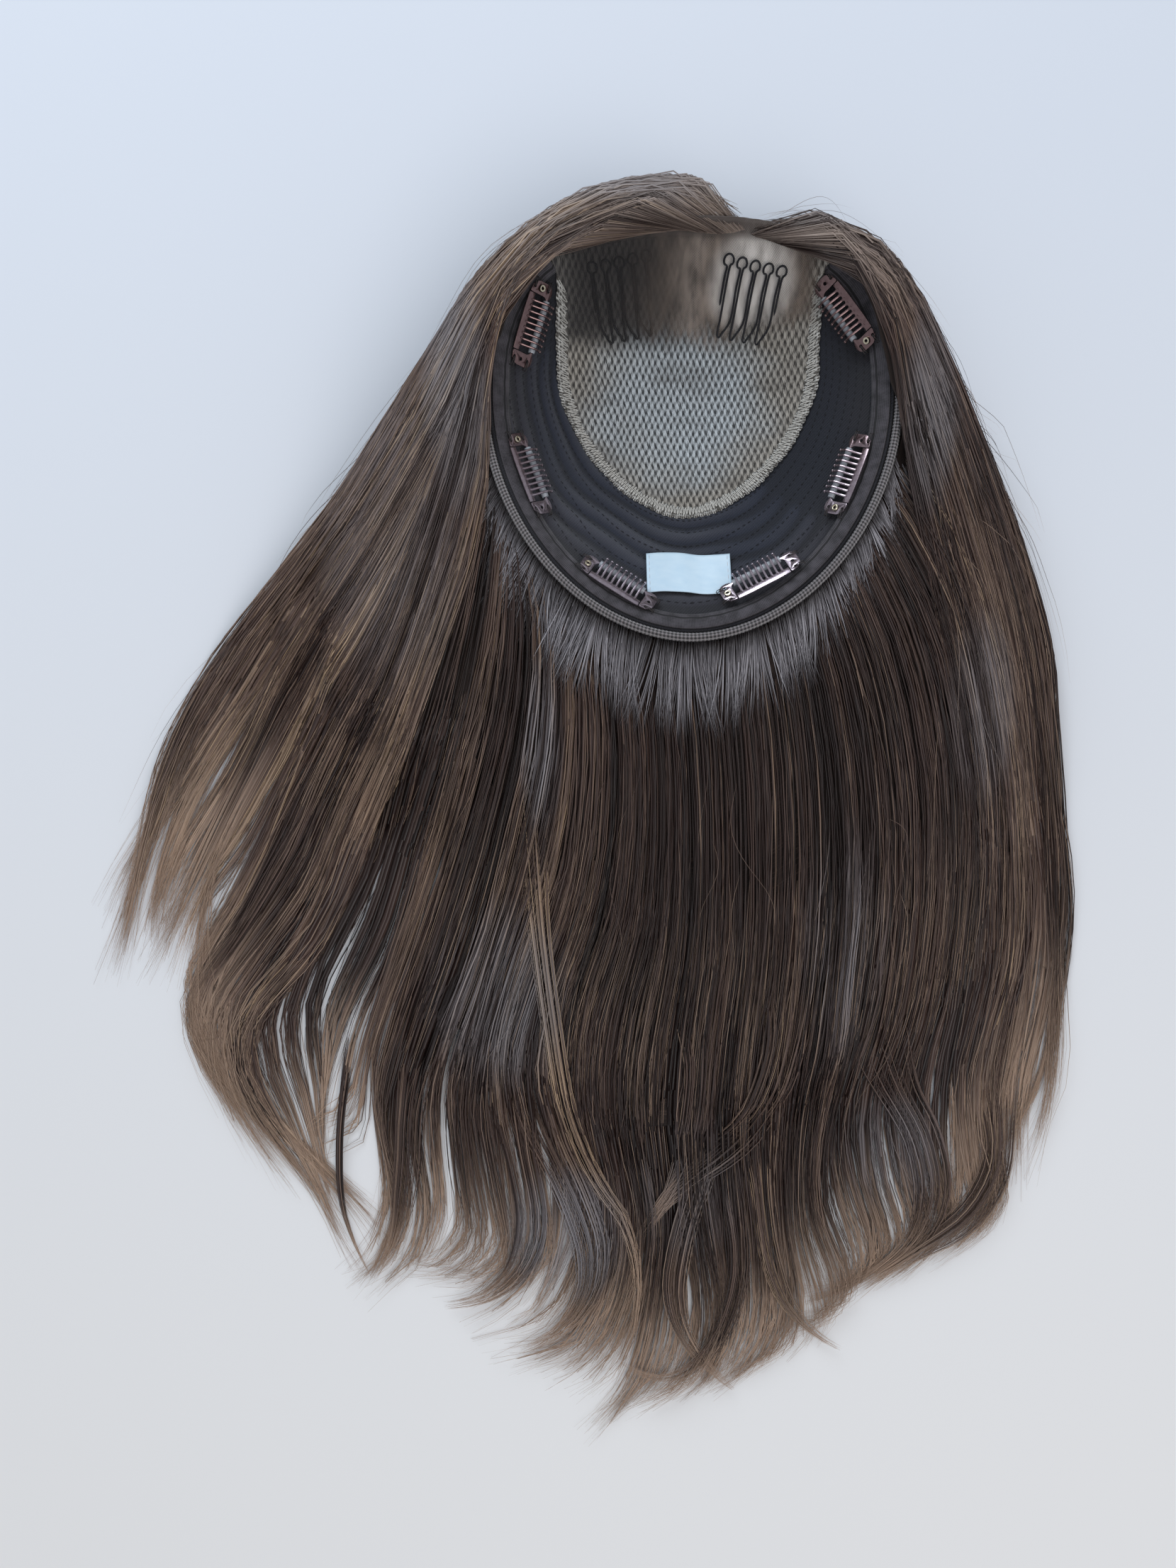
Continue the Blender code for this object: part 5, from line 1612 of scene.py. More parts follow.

# %% [markdown]
# ## Guides
# A hairdresser reads hair in locks, and so do these guides: each is one line of the real
# hair, followed in the photograph from root to tip, in its pixels. The waves and the
# turned-in ends come from them. The sides root along the hairline at the parting, and the
# rest falls from under the rim.

# %% Guide lines
PHOTO_SCALE = 0.2865 * MM
PHOTO_MIDDLE = (829.5, 1106.0)
GUIDE_STEPS = 90

LEFT_GUIDES = (
    ((1050, 322), (1036, 282), (950, 246), (800, 280), (672, 388), (585, 530), (470, 717),
     (330, 900), (235, 1080), (190, 1215), (172, 1300)),
    ((1035, 326), (1010, 286), (930, 262), (790, 308), (685, 420), (595, 600), (470, 810),
     (345, 1010), (262, 1160), (215, 1260), (200, 1345)),
    ((1015, 328), (985, 300), (900, 282), (765, 345), (690, 450), (650, 560), (545, 760),
     (425, 960), (345, 1120), (290, 1240), (238, 1340)),
    ((990, 326), (955, 303), (860, 298), (760, 345), (690, 430), (640, 600), (560, 840),
     (460, 1040), (400, 1170), (335, 1290), (262, 1395), (272, 1475), (330, 1572)),
    ((960, 322), (925, 308), (835, 318), (750, 370), (692, 455), (652, 660), (565, 940),
     (480, 1120), (430, 1240), (350, 1350), (300, 1430), (325, 1545), (420, 1645)),
    ((930, 322), (885, 318), (800, 345), (725, 400), (692, 490), (672, 720), (570, 1030),
     (500, 1190), (445, 1310), (365, 1420), (352, 1500), (405, 1605), (486, 1728)),
)
FALL_GUIDES = (
    ((694, 560), (672, 640), (612, 850), (535, 1060), (480, 1230), (415, 1370), (380, 1470),
     (400, 1570), (462, 1680), (490, 1735)),
    ((696, 620), (690, 740), (648, 960), (590, 1170), (540, 1330), (490, 1450), (458, 1540),
     (455, 1620)),
    ((704, 690), (722, 800), (712, 980), (665, 1170), (615, 1330), (565, 1480), (545, 1580),
     (556, 1690), (540, 1780), (520, 1820)),
    ((725, 725), (752, 860), (748, 1010), (712, 1190), (660, 1370), (605, 1520), (598, 1620),
     (612, 1700), (600, 1775), (560, 1802)),
    ((750, 760), (785, 900), (786, 1060), (752, 1240), (700, 1410), (672, 1550), (692, 1670),
     (706, 1760), (665, 1805), (605, 1808)),
    ((782, 795), (818, 930), (822, 1090), (800, 1250), (750, 1400), (725, 1520), (752, 1660),
     (768, 1760), (730, 1825), (660, 1848)),
    ((820, 820), (855, 960), (862, 1120), (842, 1280), (800, 1410), (790, 1530), (815, 1680),
     (810, 1775), (765, 1850), (700, 1872)),
    ((860, 842), (893, 980), (900, 1140), (886, 1300), (848, 1430), (838, 1550), (868, 1700),
     (860, 1800), (815, 1895), (750, 1930)),
    ((900, 858), (928, 1000), (935, 1160), (925, 1320), (895, 1450), (888, 1570), (905, 1720),
     (895, 1840), (862, 1930), (815, 1975)),
    ((942, 868), (960, 1010), (968, 1170), (962, 1330), (942, 1460), (932, 1590), (945, 1740),
     (940, 1860), (908, 1945), (850, 1992)),
    ((985, 872), (1003, 1010), (1012, 1170), (1010, 1330), (993, 1470), (985, 1600), (1003, 1750),
     (1010, 1850), (980, 1935), (920, 1975)),
    ((1028, 862), (1050, 1010), (1060, 1170), (1058, 1330), (1042, 1470), (1030, 1600),
     (1040, 1750), (1042, 1860), (1015, 1935), (965, 1965)),
    ((1070, 848), (1100, 1000), (1112, 1170), (1108, 1330), (1092, 1470), (1078, 1600),
     (1085, 1750), (1095, 1850), (1070, 1920), (1020, 1955)),
    ((1112, 828), (1152, 980), (1172, 1150), (1170, 1310), (1152, 1460), (1128, 1600),
     (1128, 1720), (1150, 1820), (1150, 1868), (1100, 1900)),
    ((1150, 802), (1205, 960), (1232, 1130), (1232, 1290), (1212, 1440), (1182, 1570),
     (1182, 1690), (1215, 1780), (1205, 1825), (1150, 1858)),
    ((1185, 765), (1255, 930), (1290, 1110), (1292, 1280), (1272, 1430), (1236, 1550),
     (1245, 1660), (1272, 1745), (1245, 1795), (1180, 1840)),
    ((1215, 715), (1305, 890), (1345, 1080), (1350, 1250), (1332, 1400), (1300, 1520),
     (1312, 1630), (1328, 1710), (1290, 1765), (1225, 1815)),
    ((1240, 650), (1345, 840), (1395, 1050), (1405, 1220), (1392, 1370), (1360, 1500),
     (1365, 1610), (1378, 1695), (1340, 1745), (1275, 1780)),
    ((1256, 580), (1378, 800), (1435, 1030), (1450, 1210), (1442, 1360), (1412, 1490),
     (1404, 1590), (1412, 1680), (1385, 1728), (1325, 1762)),
)
RIGHT_GUIDES = (
    ((1060, 328), (1080, 304), (1165, 304), (1262, 362), (1335, 490), (1395, 635), (1448, 790),
     (1486, 950), (1492, 1150), (1507, 1330), (1502, 1430), (1478, 1520), (1432, 1590)),
    ((1068, 332), (1095, 316), (1180, 322), (1270, 400), (1325, 530), (1380, 690), (1430, 860),
     (1460, 1050), (1470, 1220), (1482, 1350), (1474, 1460), (1452, 1550), (1425, 1640)),
    ((1082, 336), (1115, 326), (1192, 342), (1262, 425), (1308, 575), (1362, 750), (1408, 920),
     (1434, 1080), (1448, 1240), (1450, 1350), (1430, 1470), (1410, 1560), (1415, 1650), (1404, 1702)),
    ((1100, 342), (1140, 332), (1203, 352), (1256, 425), (1292, 600), (1345, 800), (1385, 980),
     (1405, 1150), (1412, 1290), (1400, 1420), (1375, 1540), (1392, 1640), (1385, 1705), (1352, 1738)),
    ((1112, 346), (1150, 344), (1205, 372), (1246, 440), (1266, 530), (1285, 660), (1318, 820),
     (1352, 980), (1376, 1150), (1384, 1290), (1372, 1420), (1345, 1540), (1360, 1640), (1350, 1700),
     (1318, 1742)),
)


def guide_lines(tables, relief):
    """Guides as rows of places, all with the same number of steps from root to tip."""
    lines = []
    for table in tables:
        pixels = even_path(np.column_stack([table, np.zeros(len(table))]), GUIDE_STEPS)
        z = np.full(GUIDE_STEPS, RIM_HEIGHT)
        for _ in range(4):
            scale = PHOTO_SCALE * (CAMERA_PLACE[2] - z) / CAMERA_PLACE[2]
            x = (pixels[:, 0] - PHOTO_MIDDLE[0]) * scale + CAMERA_PLACE[0]
            y = (PHOTO_MIDDLE[1] - pixels[:, 1]) * scale + CAMERA_PLACE[1]
            z = relief.at(x, y)
        lines.append(np.column_stack([x, y]))
    return np.array(lines)


def between(lines, across, along):
    """Places between guides: across counts guides, and along runs from 0 to 1 or a bit past."""
    guide = np.clip(across, 0, len(lines) - 1.001)
    left = guide.astype(int)
    part = (across - left)[..., None]
    step = along * (GUIDE_STEPS - 1)
    low = np.clip(step.astype(int), 0, GUIDE_STEPS - 2)
    rest = (step - low)[..., None]
    first = lines[left, low] * (1 - rest) + lines[left, low + 1] * rest
    second = lines[left + 1, low] * (1 - rest) + lines[left + 1, low + 1] * rest
    return first * (1 - part) + second * part


left_lines = guide_lines(LEFT_GUIDES, capped_relief)
fall_lines = guide_lines(FALL_GUIDES, body_relief)
right_lines = guide_lines(RIGHT_GUIDES, capped_relief)
print("guides", len(left_lines), len(fall_lines), len(right_lines))

# %% [markdown]
# ## Strands
# The finish of a strand is its lock's tone, from near black to caramel, fading to light tan
# at the tips. A cool gleam is painted into the colour, a painted highlight on the bends that
# face the window, where the photograph has its silvery bands.

# %% Strand finish and sweep
MOST_STRANDS = 1500
# The hair lies a little above the floor, so it is that much smaller than at floor scale
GLEAM_SHRINK = 0.97
# Places in the photograph, half sizes in mm, and strength
GLEAMS = (
    (700, 1410, 30, 40, 0.50), (1190, 1330, 17, 48, 0.50), (800, 1760, 26, 28, 0.70),
    (1385, 1000, 15, 38, 0.45), (975, 1690, 24, 30, 0.30), (650, 580, 14, 50, 0.55),
    (762, 1050, 9, 34, 0.70), (1290, 600, 12, 40, 0.50), (1270, 1640, 22, 24, 0.45),
    (1190, 330, 34, 12, 0.70), (860, 300, 44, 12, 0.50), (560, 760, 30, 60, 0.30),
)


def gleam(x, y):
    """How much of the painted cool gleam, a painted highlight, lies on a place."""
    total = None
    for px, py, half_x, half_y, strength in GLEAMS:
        middle = ((px - PHOTO_MIDDLE[0]) * PHOTO_SCALE * GLEAM_SHRINK + CAMERA_PLACE[0],
                  (PHOTO_MIDDLE[1] - py) * PHOTO_SCALE * GLEAM_SHRINK + CAMERA_PLACE[1])
        spot = soft_step(far_from(x, y, middle, (half_x * MM, half_y * MM)), 1.3, 0.0) * strength
        total = spot if total is None else calc("MAXIMUM", total, spot)
    return total


def strand_finish(name, stops, tip, cool, roughness, root=0.0):
    """Hair whose UV map holds its tone and its way from root to tip."""
    made = new_finish(name, stops[0][1], roughness, Specular_IOR_Level=0.5)
    u, v, _ = coordinates(made, "UV")
    x, y, z = coordinates(made)
    patch = noise((x, y * 0.4, z), 45)
    tone = blend(soft_step(patch, 0.45, 0.70) * 0.40, ramp(u, *stops), (0.012, 0.0070, 0.0062))
    tone = blend(soft_step(v, 0.64, 0.98) * 0.80, tone, tip)
    # Painted shade: where root is given, the roots are painted darker, for the shade under the binding.
    tone = blend(soft_step(v, 0.35, 0.05) * root, tone, (0.018, 0.0135, 0.0140))
    crown = soft_step(y, 0.170, 0.240) * soft_step(u, 0.15, 0.70)
    crown = crown * (soft_step(x, 0.0, 0.08) * 0.48 + 0.52)
    tone = blend(crown, tone, (0.42, 0.345, 0.305))
    # Painted highlight: the cool gleam is mixed into the colour over its spots.
    return paint(made, blend(gleam(x, y) * soft_step(u, 0.18, 0.62), tone, cool))


def grow(name, paths, radius, tones, material, sides=3):
    """Turns strands into pieces of at most a fixed number each."""
    t = np.linspace(0, 1, paths.shape[1])
    taper = np.minimum(1.0, 0.25 + 6 * t) * np.clip(1.4 * (1 - t) ** 0.7, 0.10, 1)
    for part, start in enumerate(range(0, len(paths), MOST_STRANDS)):
        stop = start + MOST_STRANDS
        radii = radius[start:stop, None] * taper[None, :]
        piece = f"{name}_{part + 1}"
        mesh = swept_mesh(piece, paths[start:stop], radii, sides, tones[start:stop])
        put_in_scene(piece, mesh, material)
        print(piece, len(radii), "strands,", len(mesh.polygons), "faces")


def sideways(paths):
    """Unit vectors across each strand, level with the floor."""
    along = np.gradient(paths[:, :, :2], axis=1)
    across = np.stack([along[:, :, 1], -along[:, :, 0]], -1)
    return across / (np.linalg.norm(across, axis=2, keepdims=True) + 1e-9)


def strand_radii(count, scale=1.0):
    fine = draws.random(count) < 0.55
    wide = np.clip(draws.normal(0.28, 0.05, count), 0.20, 0.38)
    return np.where(fine, draws.uniform(0.10, 0.18, count), wide) * MM * scale


BROWNS = ((0.0, (0.0115, 0.0056, 0.0048)), (0.35, (0.040, 0.0212, 0.0178)),
          (0.62, (0.124, 0.077, 0.061)), (0.82, (0.27, 0.183, 0.134)), (1.0, (0.55, 0.385, 0.24)))
TIP_BROWN = (0.54, 0.375, 0.275)
PAINTED_GLEAM_COLOUR = (0.30, 0.29, 0.315)
brown = strand_finish("hair_strand", BROWNS, TIP_BROWN, PAINTED_GLEAM_COLOUR, 0.38)

# %% [markdown]
# Strands hang together at two scales. A big lock shares one bend and one height, so that it
# crosses its neighbours as a whole. The small locks inside it share a tone and close up to a
# point. The straight upper hair needs few rings, so each head of hair is made twice: once
# from the root to below the middle, and once from the middle to the tip, finely.

# %% Locks on the guides


class Head:
    """Hair along one set of guides, in locks whose traits all its strands share."""

    def __init__(self, lines, relief, big, tone, parted, roots, past=(0.0, 0.0)):
        self.lines, self.relief, self.roots = lines, relief, roots
        self.small = big * 5
        last = len(lines) - 1
        rank = (np.arange(self.small) + draws.uniform(0.1, 0.9, self.small)) / self.small
        self.place = past[0] + rank * (last + past[1] - past[0])
        nearest = self.place / last * big + draws.normal(0, 0.16, self.small)
        owner = np.clip(nearest, 0, big - 1).astype(int)
        middle = (np.arange(big) + 0.5) / big * last
        self.aim = self.place + (middle[owner] - self.place) * 0.12
        self.part = np.zeros(self.small)
        self.part_from = np.full(self.small, 0.8)
        for low, high, low_start, high_start in parted:
            inside = (self.aim > low) & (self.aim < high)
            lower_side = self.place < (low + high) / 2
            side = np.where(lower_side, low + 0.05, high - 0.05)
            aside = side + draws.normal(0, 0.12, self.small) - self.aim
            self.part = np.where(inside, aside, self.part)
            start = np.where(lower_side, low_start, high_start)
            self.part_from = np.where(inside, start, self.part_from)
        tones = np.interp(self.place, np.linspace(0, last, len(tone)), tone)
        self.tone = tones + draws.normal(0, 0.13, big)[owner] + draws.normal(0, 0.13, self.small)
        self.slide = (draws.normal(0, 0.013, big)[owner] + draws.normal(0, 0.005, self.small))
        self.bend = draws.normal(0, 1.5, big)[owner] * MM
        self.turn = draws.uniform(0, 2 * np.pi, big)[owner] + draws.normal(0, 0.4, self.small)
        self.hook = (draws.normal(0, 4.5, big)[owner] + draws.normal(0, 2.0, self.small)) * MM
        self.rise = draws.normal(0, 1.2, big)[owner] * MM
        self.tail = draws.normal(0, 0.014, self.small)

    def aside(self, lock, t):
        """How far a strand steps aside where the hair parts near its ends."""
        start = self.part_from[lock][:, None]
        return self.part[lock][:, None] * np.clip((t - start) / 0.12, 0, 1)

    def strands(self, count, rings, start, stop, tips):
        """Strands between two shares of the length. With tips, they run to the lock's own end."""
        lock = draws.integers(0, self.small, count)
        spacing = len(self.lines) / self.small
        across = self.place[lock] + draws.normal(0, 0.62 * spacing, count)
        free = np.where(draws.random(count) < 0.35, 0.05, 0.50)[:, None]
        drift = draws.normal(0, 0.15, count)[:, None]
        first = np.maximum(draws.normal(*start, count), 0.0)
        last = draws.normal(*stop, count)
        if tips:
            short = draws.random(count) < 0.16
            last = 1.0 + self.tail[lock] - np.abs(draws.normal(0, 0.030, count))
            last = np.where(short, draws.uniform(0.74, 0.95, count), last)
        ring = np.linspace(0, 1, rings)[None, :]
        t = first[:, None] + (last - first)[:, None] * ring
        close = smooth(t, 0.40, 0.95)
        here = across[:, None] + (self.aim[lock] - across)[:, None] * free * close
        here = here + self.aside(lock, t) + drift * (t - 0.3)
        along = t + self.slide[lock][:, None] * smooth(t, 0.35, 0.8)
        ground = between(self.lines, here, along)
        lower = smooth(t, 0.42, 0.90)
        wave = self.bend[lock][:, None] * np.sin(t * 21 + self.turn[lock][:, None]) * lower
        frizz = draws.normal(0, 0.45, count)[:, None] * MM * np.sin(t * draws.uniform(25, 60, (count, 1))
                                                                   + draws.uniform(0, 6.28, (count, 1)))
        hook = self.hook[lock] + draws.normal(0, 2.2, count) * MM
        hook = hook[:, None] * np.clip((t - 0.84) / 0.16, 0, 1.2) ** 2
        paths = np.concatenate([ground, np.zeros(t.shape)[:, :, None]], 2)
        paths[:, :, :2] += sideways(paths) * (wave + frizz * smooth(t, 0.02, 0.3) + hook)[:, :, None]
        layer = np.abs(draws.normal(0.9, 0.8, count))[:, None] * MM
        lift = self.rise[lock][:, None] * smooth(t, 0.3, 0.6) * np.clip((1.02 - t) / 0.1, 0, 1)
        height = self.relief.at(paths[:, :, 0], paths[:, :, 1]) + layer + lift
        height = height + 1.4 * MM * lower * np.sin(t * 21 + self.turn[lock][:, None] + 1.2)
        root = 1 - smooth(t, 0.0, 0.07)
        height = height * (1 - root) + (self.roots + 0.4 * layer) * root
        paths[:, :, 2] = np.maximum(height, 0.5 * MM + 0.5 * layer)
        tones = self.tone[lock] + draws.normal(0, 0.13, count)
        bright = draws.random(count) < 0.035
        tones = np.where(bright, draws.uniform(0.66, 0.90, count), tones)
        return paths, np.clip(tones, 0.01, 0.99)

    def cores(self, each):
        """A few thick soft strands in the middle of each small lock, which fill it."""
        count = self.small * each
        lock = np.repeat(np.arange(self.small), each)
        spacing = len(self.lines) / self.small
        across = self.place[lock] + draws.uniform(-0.5, 0.5, count) * spacing
        stop = 0.965 + self.tail[lock] - np.abs(draws.normal(0, 0.04, count))
        t = 0.36 + (stop - 0.36)[:, None] * np.linspace(0, 1, CORE_RINGS)[None, :]
        here = across[:, None] + (self.aim[lock] - across)[:, None] * 0.4 * smooth(t, 0.40, 0.95)
        here = here + self.aside(lock, t)
        along = t + self.slide[lock][:, None] * smooth(t, 0.35, 0.8)
        paths = np.concatenate([between(self.lines, here, along), np.zeros(t.shape)[:, :, None]], 2)
        lower = smooth(t, 0.42, 0.90)
        wave = self.bend[lock][:, None] * np.sin(t * 21 + self.turn[lock][:, None]) * lower
        hook = self.hook[lock][:, None] * np.clip((t - 0.86) / 0.14, 0, 1.2) ** 2
        paths[:, :, :2] += sideways(paths) * (wave + hook)[:, :, None]
        height = self.relief.at(paths[:, :, 0], paths[:, :, 1]) - 0.4 * MM
        paths[:, :, 2] = np.maximum(height, 1.35 * MM)
        # The cores are painted a little darker than their lock, a painted shade inside it.
        return paths, np.clip(self.tone[lock] - 0.10 + draws.normal(0, 0.08, count), 0.01, 0.9)


UPPER_RINGS = 10
LOWER_RINGS = 17
CORE_RINGS = 12


def dress(name, head, upper, lower, each):
    """Grows the upper and the lower strands of one head of hair, and the cores of its locks."""
    paths, tones = head.strands(upper, UPPER_RINGS, (0.0, 0.012), (0.62, 0.07), False)
    grow(f"strands_{name}_upper", paths, strand_radii(upper, 1.15), tones, brown)
    paths, tones = head.strands(lower, LOWER_RINGS, (0.42, 0.07), (1.0, 0.0), True)
    grow(f"strands_{name}_lower", paths, strand_radii(lower), tones, brown)
    paths, tones = head.cores(each)
    radii = draws.uniform(0.75, 1.15, len(paths)) * MM
    grow(f"strands_{name}_cores", paths, radii, tones, brown)


left_head = Head(left_lines, capped_relief, 13, (0.66, 0.72, 0.66, 0.60, 0.54, 0.48),
                 ((2.0, 3.0, 0.82, 0.66),), RIM_HEIGHT + 1.0 * MM, (-0.1, 0.4))
fall_head = Head(fall_lines, body_relief, 30, (0.50, 0.40, 0.32, 0.30, 0.33, 0.42),
                 ((1.0, 2.0, 0.88, 0.78),), RIM_HEIGHT - 8.0 * MM, (-0.4, 0.1))
right_head = Head(right_lines, capped_relief, 9, (0.70, 0.62, 0.52, 0.46), (),
                  RIM_HEIGHT + 1.0 * MM, (0.0, 0.2))
dress("left", left_head, 950, 1200, 4)
dress("fall", fall_head, 1100, 1800, 4)
dress("right", right_head, 750, 750, 4)

# %% [markdown]
# ## Curled locks
# A few locks lie on top and draw the eye: the caramel one left of the middle, the silvery
# sweep beside it, the curls below. Each is a bundle about its own guide, spread out and
# sunk at its start so that it comes out of the hair, and drawn to a point at its tip.

# %% Curled locks
CURL_RINGS = 17
# Tone, half width in mm, and the guide's points in the photograph
CURLS = (
    (0.90, 4.5, ((740, 1050), (750, 1180), (760, 1300), (778, 1440), (800, 1570), (838, 1660),
                 (884, 1724), (900, 1800), (892, 1880), (868, 1940))),
    (0.62, 8.0, ((742, 1480), (765, 1580), (810, 1680), (836, 1760), (826, 1830), (780, 1880),
                 (735, 1900))),
    (0.55, 7.0, ((715, 1500), (735, 1620), (752, 1720), (730, 1790), (680, 1828), (625, 1838))),
    (0.60, 8.0, ((1112, 1330), (1108, 1450), (1080, 1550), (1030, 1610), (975, 1655), (930, 1700),
                 (900, 1745))),
    (0.55, 6.0, ((985, 1400), (985, 1520), (972, 1610), (945, 1680), (912, 1735))),
    (0.60, 5.5, ((1005, 1560), (985, 1660), (962, 1740), (950, 1820), (968, 1885), (1005, 1930),
                 (1036, 1956))),
    (0.50, 5.0, ((1020, 1600), (1036, 1700), (1042, 1790), (1020, 1870), (975, 1925), (920, 1940),
                 (872, 1915))),
    (0.80, 4.5, ((1060, 1560), (1070, 1670), (1082, 1760), (1106, 1830), (1145, 1875), (1186, 1900))),
    (0.55, 8.0, ((1230, 1420), (1258, 1520), (1298, 1600), (1312, 1680), (1285, 1750), (1210, 1808))),
    (0.58, 7.0, ((1395, 1480), (1404, 1570), (1400, 1650), (1360, 1715), (1290, 1762), (1215, 1808))),
    (0.30, 1.6, ((500, 1440), (488, 1530), (481, 1610), (484, 1690), (502, 1750), (526, 1798))),
    (0.52, 6.0, ((600, 1450), (580, 1560), (575, 1650), (560, 1740), (530, 1800))),
)


def curl_strands(tone, half_width, guide, count):
    table = np.asarray(guide, float)
    line = guide_lines([table], body_relief)[0]
    line = line[np.linspace(0, GUIDE_STEPS - 1, CURL_RINGS).astype(int)]
    paths = np.repeat(np.column_stack([line, np.zeros(CURL_RINGS)])[None], count, 0)
    start = draws.uniform(0.0, 0.22, count)[:, None]
    stop = 1.0 - np.abs(draws.normal(0, 0.05, count))[:, None]
    t = start + (stop - start) * np.linspace(0, 1, CURL_RINGS)[None, :]
    rows, index = np.arange(count)[:, None], np.clip(t * (CURL_RINGS - 1), 0, CURL_RINGS - 1.001)
    low, part = index.astype(int), (index % 1)[:, :, None]
    paths = paths[rows, low] * (1 - part) + paths[rows, low + 1] * part
    turn = draws.uniform(0, 2 * np.pi, count)[:, None]
    far = np.sqrt(draws.random(count))[:, None]
    wide = 1.9 - 0.9 * smooth(t, 0.0, 0.35) - 0.75 * smooth(t, 0.55, 1.0)
    paths[:, :, :2] += sideways(paths) * (far * np.cos(turn) * half_width * MM * wide)[:, :, None]
    bundle = 3.4 + far * np.sin(turn) * 0.34 * half_width * wide
    sink = 7.0 * (1 - smooth(t, 0.0, 0.32))
    height = body_relief.at(paths[:, :, 0], paths[:, :, 1]) + (bundle - sink) * MM
    paths[:, :, 2] = np.maximum(height, 1.0 * MM + 0.5 * MM * far)
    tones = np.clip(tone + draws.normal(0, 0.17, count), 0.01, 0.99)
    return paths, tones


curled = [curl_strands(tone, width, guide, int(10 + 5 * width)) for tone, width, guide in CURLS]
strands = np.concatenate([pair[0] for pair in curled])
tones = np.concatenate([pair[1] for pair in curled])
grow("strands_curl", strands, strand_radii(len(strands)), tones, brown)

# %% [markdown]
# ## The short fringe round the rim
# Short hairs stand out from under the binding round the lower half, all the way from one
# side to the other. They start close together, fan out, and turn a little with the flow.

# %% The short fringe
FRINGE_RINGS = 7


def fringe_strands(count):
    """Short hairs that leave the rim outwards and turn down into the flow of the long ones."""
    angle = draws.uniform(170, 370, count)
    turn = np.radians(angle)
    root = rim_point(angle, LIP_CLEAR - 1.4 * MM, 0.0)[:, :2]
    outward = np.stack([np.cos(turn), np.sin(turn)], -1)
    tuft = 0.20 * np.sin(angle * 0.33) + 0.13 * np.sin(angle * 0.81 + 1.0)
    heading = np.radians(np.interp(angle, (170, 225, 270, 320, 370), (258, 252, 270, 290, 292)))
    heading = heading + tuft + draws.normal(0, 0.10, count)
    fall = np.stack([np.cos(heading), np.sin(heading)], -1)
    length = np.clip(draws.normal(26, 3.6, count), 16, 33)[:, None] * MM
    stand = np.interp(angle, (170, 225, 270, 320, 370), (0.06, 0.22, 0.42, 0.22, 0.06))[:, None]
    middle = root + (outward * stand + fall * 0.10) * length
    end = middle + fall * length * 0.75
    t = np.linspace(0, 1, FRINGE_RINGS)[None, :, None]
    ground = root[:, None] * (1 - t) ** 2 + middle[:, None] * 2 * t * (1 - t) + end[:, None] * t ** 2
    rel_x, rel_y = ground[:, :, 0] - CAP_X, ground[:, :, 1] - CAP_Y
    out = np.hypot(rel_x, rel_y) - rim_radius(np.degrees(np.arctan2(rel_y, rel_x)))
    start = RIM_HEIGHT - 2.0 * MM + draws.normal(0, 0.5, count)[:, None] * MM
    drop = FRINGE_TOP - FRINGE_SLOPE * out + draws.normal(1.3, 0.8, count)[:, None] * MM
    rise = smooth(t[:, :, 0], 0, 0.3)
    height = start * (1 - rise) + drop * rise
    return np.concatenate([ground, height[:, :, None]], 2)


def fringe_body(material):
    """The skirt below the short hairs, in soft locks."""
    def place(u, v):
        angle = 202 + 128 * u
        lock = np.abs(np.sin(np.pi * 19 * u))
        swell = 0.72 + 0.28 * np.sin(u * 38 * 2.4) ** 2
        reach = 30 * MM * swell * (0.62 + 0.30 * lock)
        out = LIP_CLEAR - 0.6 * MM + (reach - LIP_CLEAR) * v
        return rim_point(angle, out, FRINGE_TOP - FRINGE_SLOPE * out + 0.4 * MM * lock * v)
    made = shaped_grid("fringe_body", 130, 8, place, material, 0.8 * MM, 1.0)
    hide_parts("hair_rim_fringe")


# Painted sheen: the short hairs' greys stand for the sky's sheen on dark hair.
SHEEN_GREYS = ((0.0, (0.026, 0.022, 0.024)), (0.5, (0.265, 0.250, 0.272)), (1.0, (0.64, 0.62, 0.67)))
short = strand_finish("short_hair", SHEEN_GREYS, (0.095, 0.083, 0.086), (0.30, 0.30, 0.32), 0.34, 0.9)
fringe_body(depth)
strands = fringe_strands(2200)
tones = np.clip(draws.normal(0.58, 0.20, len(strands)), 0.01, 0.99)
grow("strands_fringe", strands, strand_radii(len(strands), 0.85), tones, short)

# %% [markdown]
# ## Flyaways
# No hair lies perfectly. Single fine hairs leave the outline in wide arcs, most at the top
# and along the left, and these thin lines do much to make the mass read as hair.

# %% Flyaways
LOOSE_RINGS = 13


def flyaways(flow, count):
    root = draws.uniform(0.0, flow.near, count)
    run = np.minimum(draws.uniform(1.2, 3.4, count), flow.near + 1.8 - root)
    t = np.linspace(0, 1, LOOSE_RINGS)[None, :]
    s = root[:, None] + run[:, None] * t
    share = draws.uniform(0.0, 0.5, count)[:, None] * (1 - 0.6 * t)
    away = draws.normal(0.0, 4.0, count)[:, None] * MM * np.sin(np.pi * t) \
        + draws.normal(3.0, 5.5, count)[:, None] * MM * t ** 2
    away = np.clip(away, -0.02, 0.013)
    ground = flow.place(s, share)
    outer, inner = flow.banks(s)
    outward = outer - inner
    outward /= np.linalg.norm(outward, axis=2, keepdims=True) + 1e-9
    ground = ground + outward * away[:, :, None]
    height = flow.height(s, share) + (1.5 + 4 * np.sin(np.pi * t)) * MM
    paths = np.concatenate([ground, height[:, :, None]], 2)
    return paths


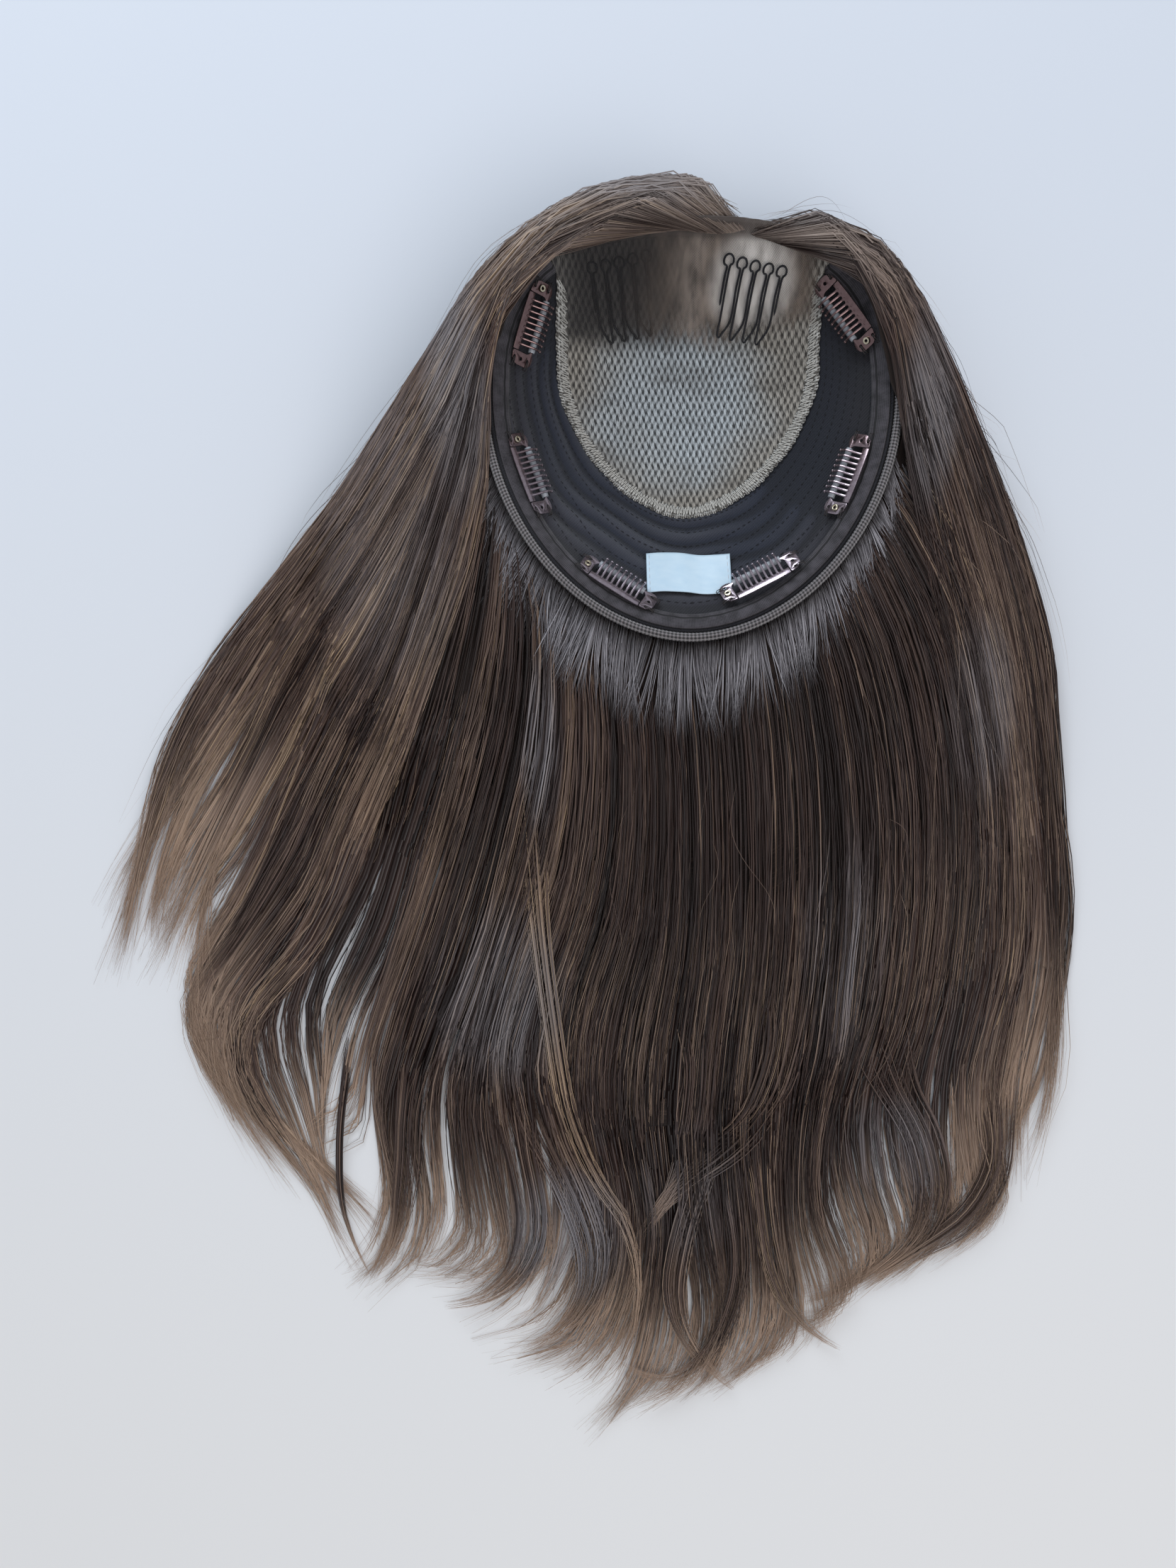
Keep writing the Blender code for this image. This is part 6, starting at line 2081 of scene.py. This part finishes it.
def surface_hairs(lines, relief, count):
    """Loose hairs that cross the surface at a slant."""
    t = np.linspace(0, 1, LOOSE_RINGS)[None, :]
    first = draws.uniform(0.08, 0.78, count)[:, None]
    along = first + draws.uniform(0.08, 0.2, count)[:, None] * t
    across = draws.uniform(0.1, len(lines) - 1.1, count)[:, None]
    across = across + draws.normal(0, 0.35, count)[:, None] * t
    across = across + draws.normal(0, 0.12, count)[:, None] * np.sin(t * 5)
    ground = between(lines, across, along)
    height = relief.at(ground[:, :, 0], ground[:, :, 1]) + (1.8 + 2.2 * np.sin(np.pi * t)) * MM
    return np.concatenate([ground, height[:, :, None]], 2)


loose = np.concatenate([flyaways(left_flow, 190), flyaways(right_flow, 140),
                        surface_hairs(left_lines, capped_relief, 40),
                        surface_hairs(right_lines, capped_relief, 30),
                        surface_hairs(fall_lines, body_relief, 90)])
loose = loose[draws.permutation(len(loose))]
tones = draws.uniform(0.3, 0.9, len(loose))
grow("strands_loose", loose, draws.uniform(0.07, 0.13, len(loose)) * MM, tones, brown)

# %% [markdown]
# ## Hair down the outer sides
# From above the sides of the mass are hidden, and from low down they are what is seen. Some
# thicker strands run along them at all heights.

# %% Strands on the outer sides
WALL_RINGS = 8


def wall_strands(flow, early, count):
    """Strands along the outer side of one body, at all heights."""
    end = float(flow.stop(np.array([WALL_SHARE]))[0]) - early
    first = draws.uniform(BODY_START, end - 2.0, count)[:, None]
    run = draws.uniform(1.5, 4.5, count)[:, None]
    s = np.minimum(first + run * np.linspace(0, 1, WALL_RINGS)[None, :], end)
    share = np.full(s.shape, WALL_SHARE)
    outer, inner = flow.banks(s)
    outward = outer - inner
    outward /= np.linalg.norm(outward, axis=2, keepdims=True) + 1e-9
    ground = flow.place(s, share) + outward * draws.uniform(0.1, 1.0, count)[:, None, None] * MM
    level = draws.uniform(0.06, 0.97, count)[:, None]
    level = level - draws.uniform(0, 0.06, count)[:, None] * (s - first)
    height = np.maximum(flow.height(s, share) * np.clip(level, 0.03, 1.0), 1.0 * MM)
    return np.concatenate([ground, height[:, :, None]], 2)


walls = np.concatenate([wall_strands(left_flow, LEFT_EARLY, 140),
                        wall_strands(right_flow, RIGHT_EARLY, 100)])
tones = np.clip(draws.normal(0.40, 0.18, len(walls)), 0.02, 0.95)
grow("strands_side", walls, draws.uniform(0.4, 0.9, len(walls)) * MM, tones, brown)
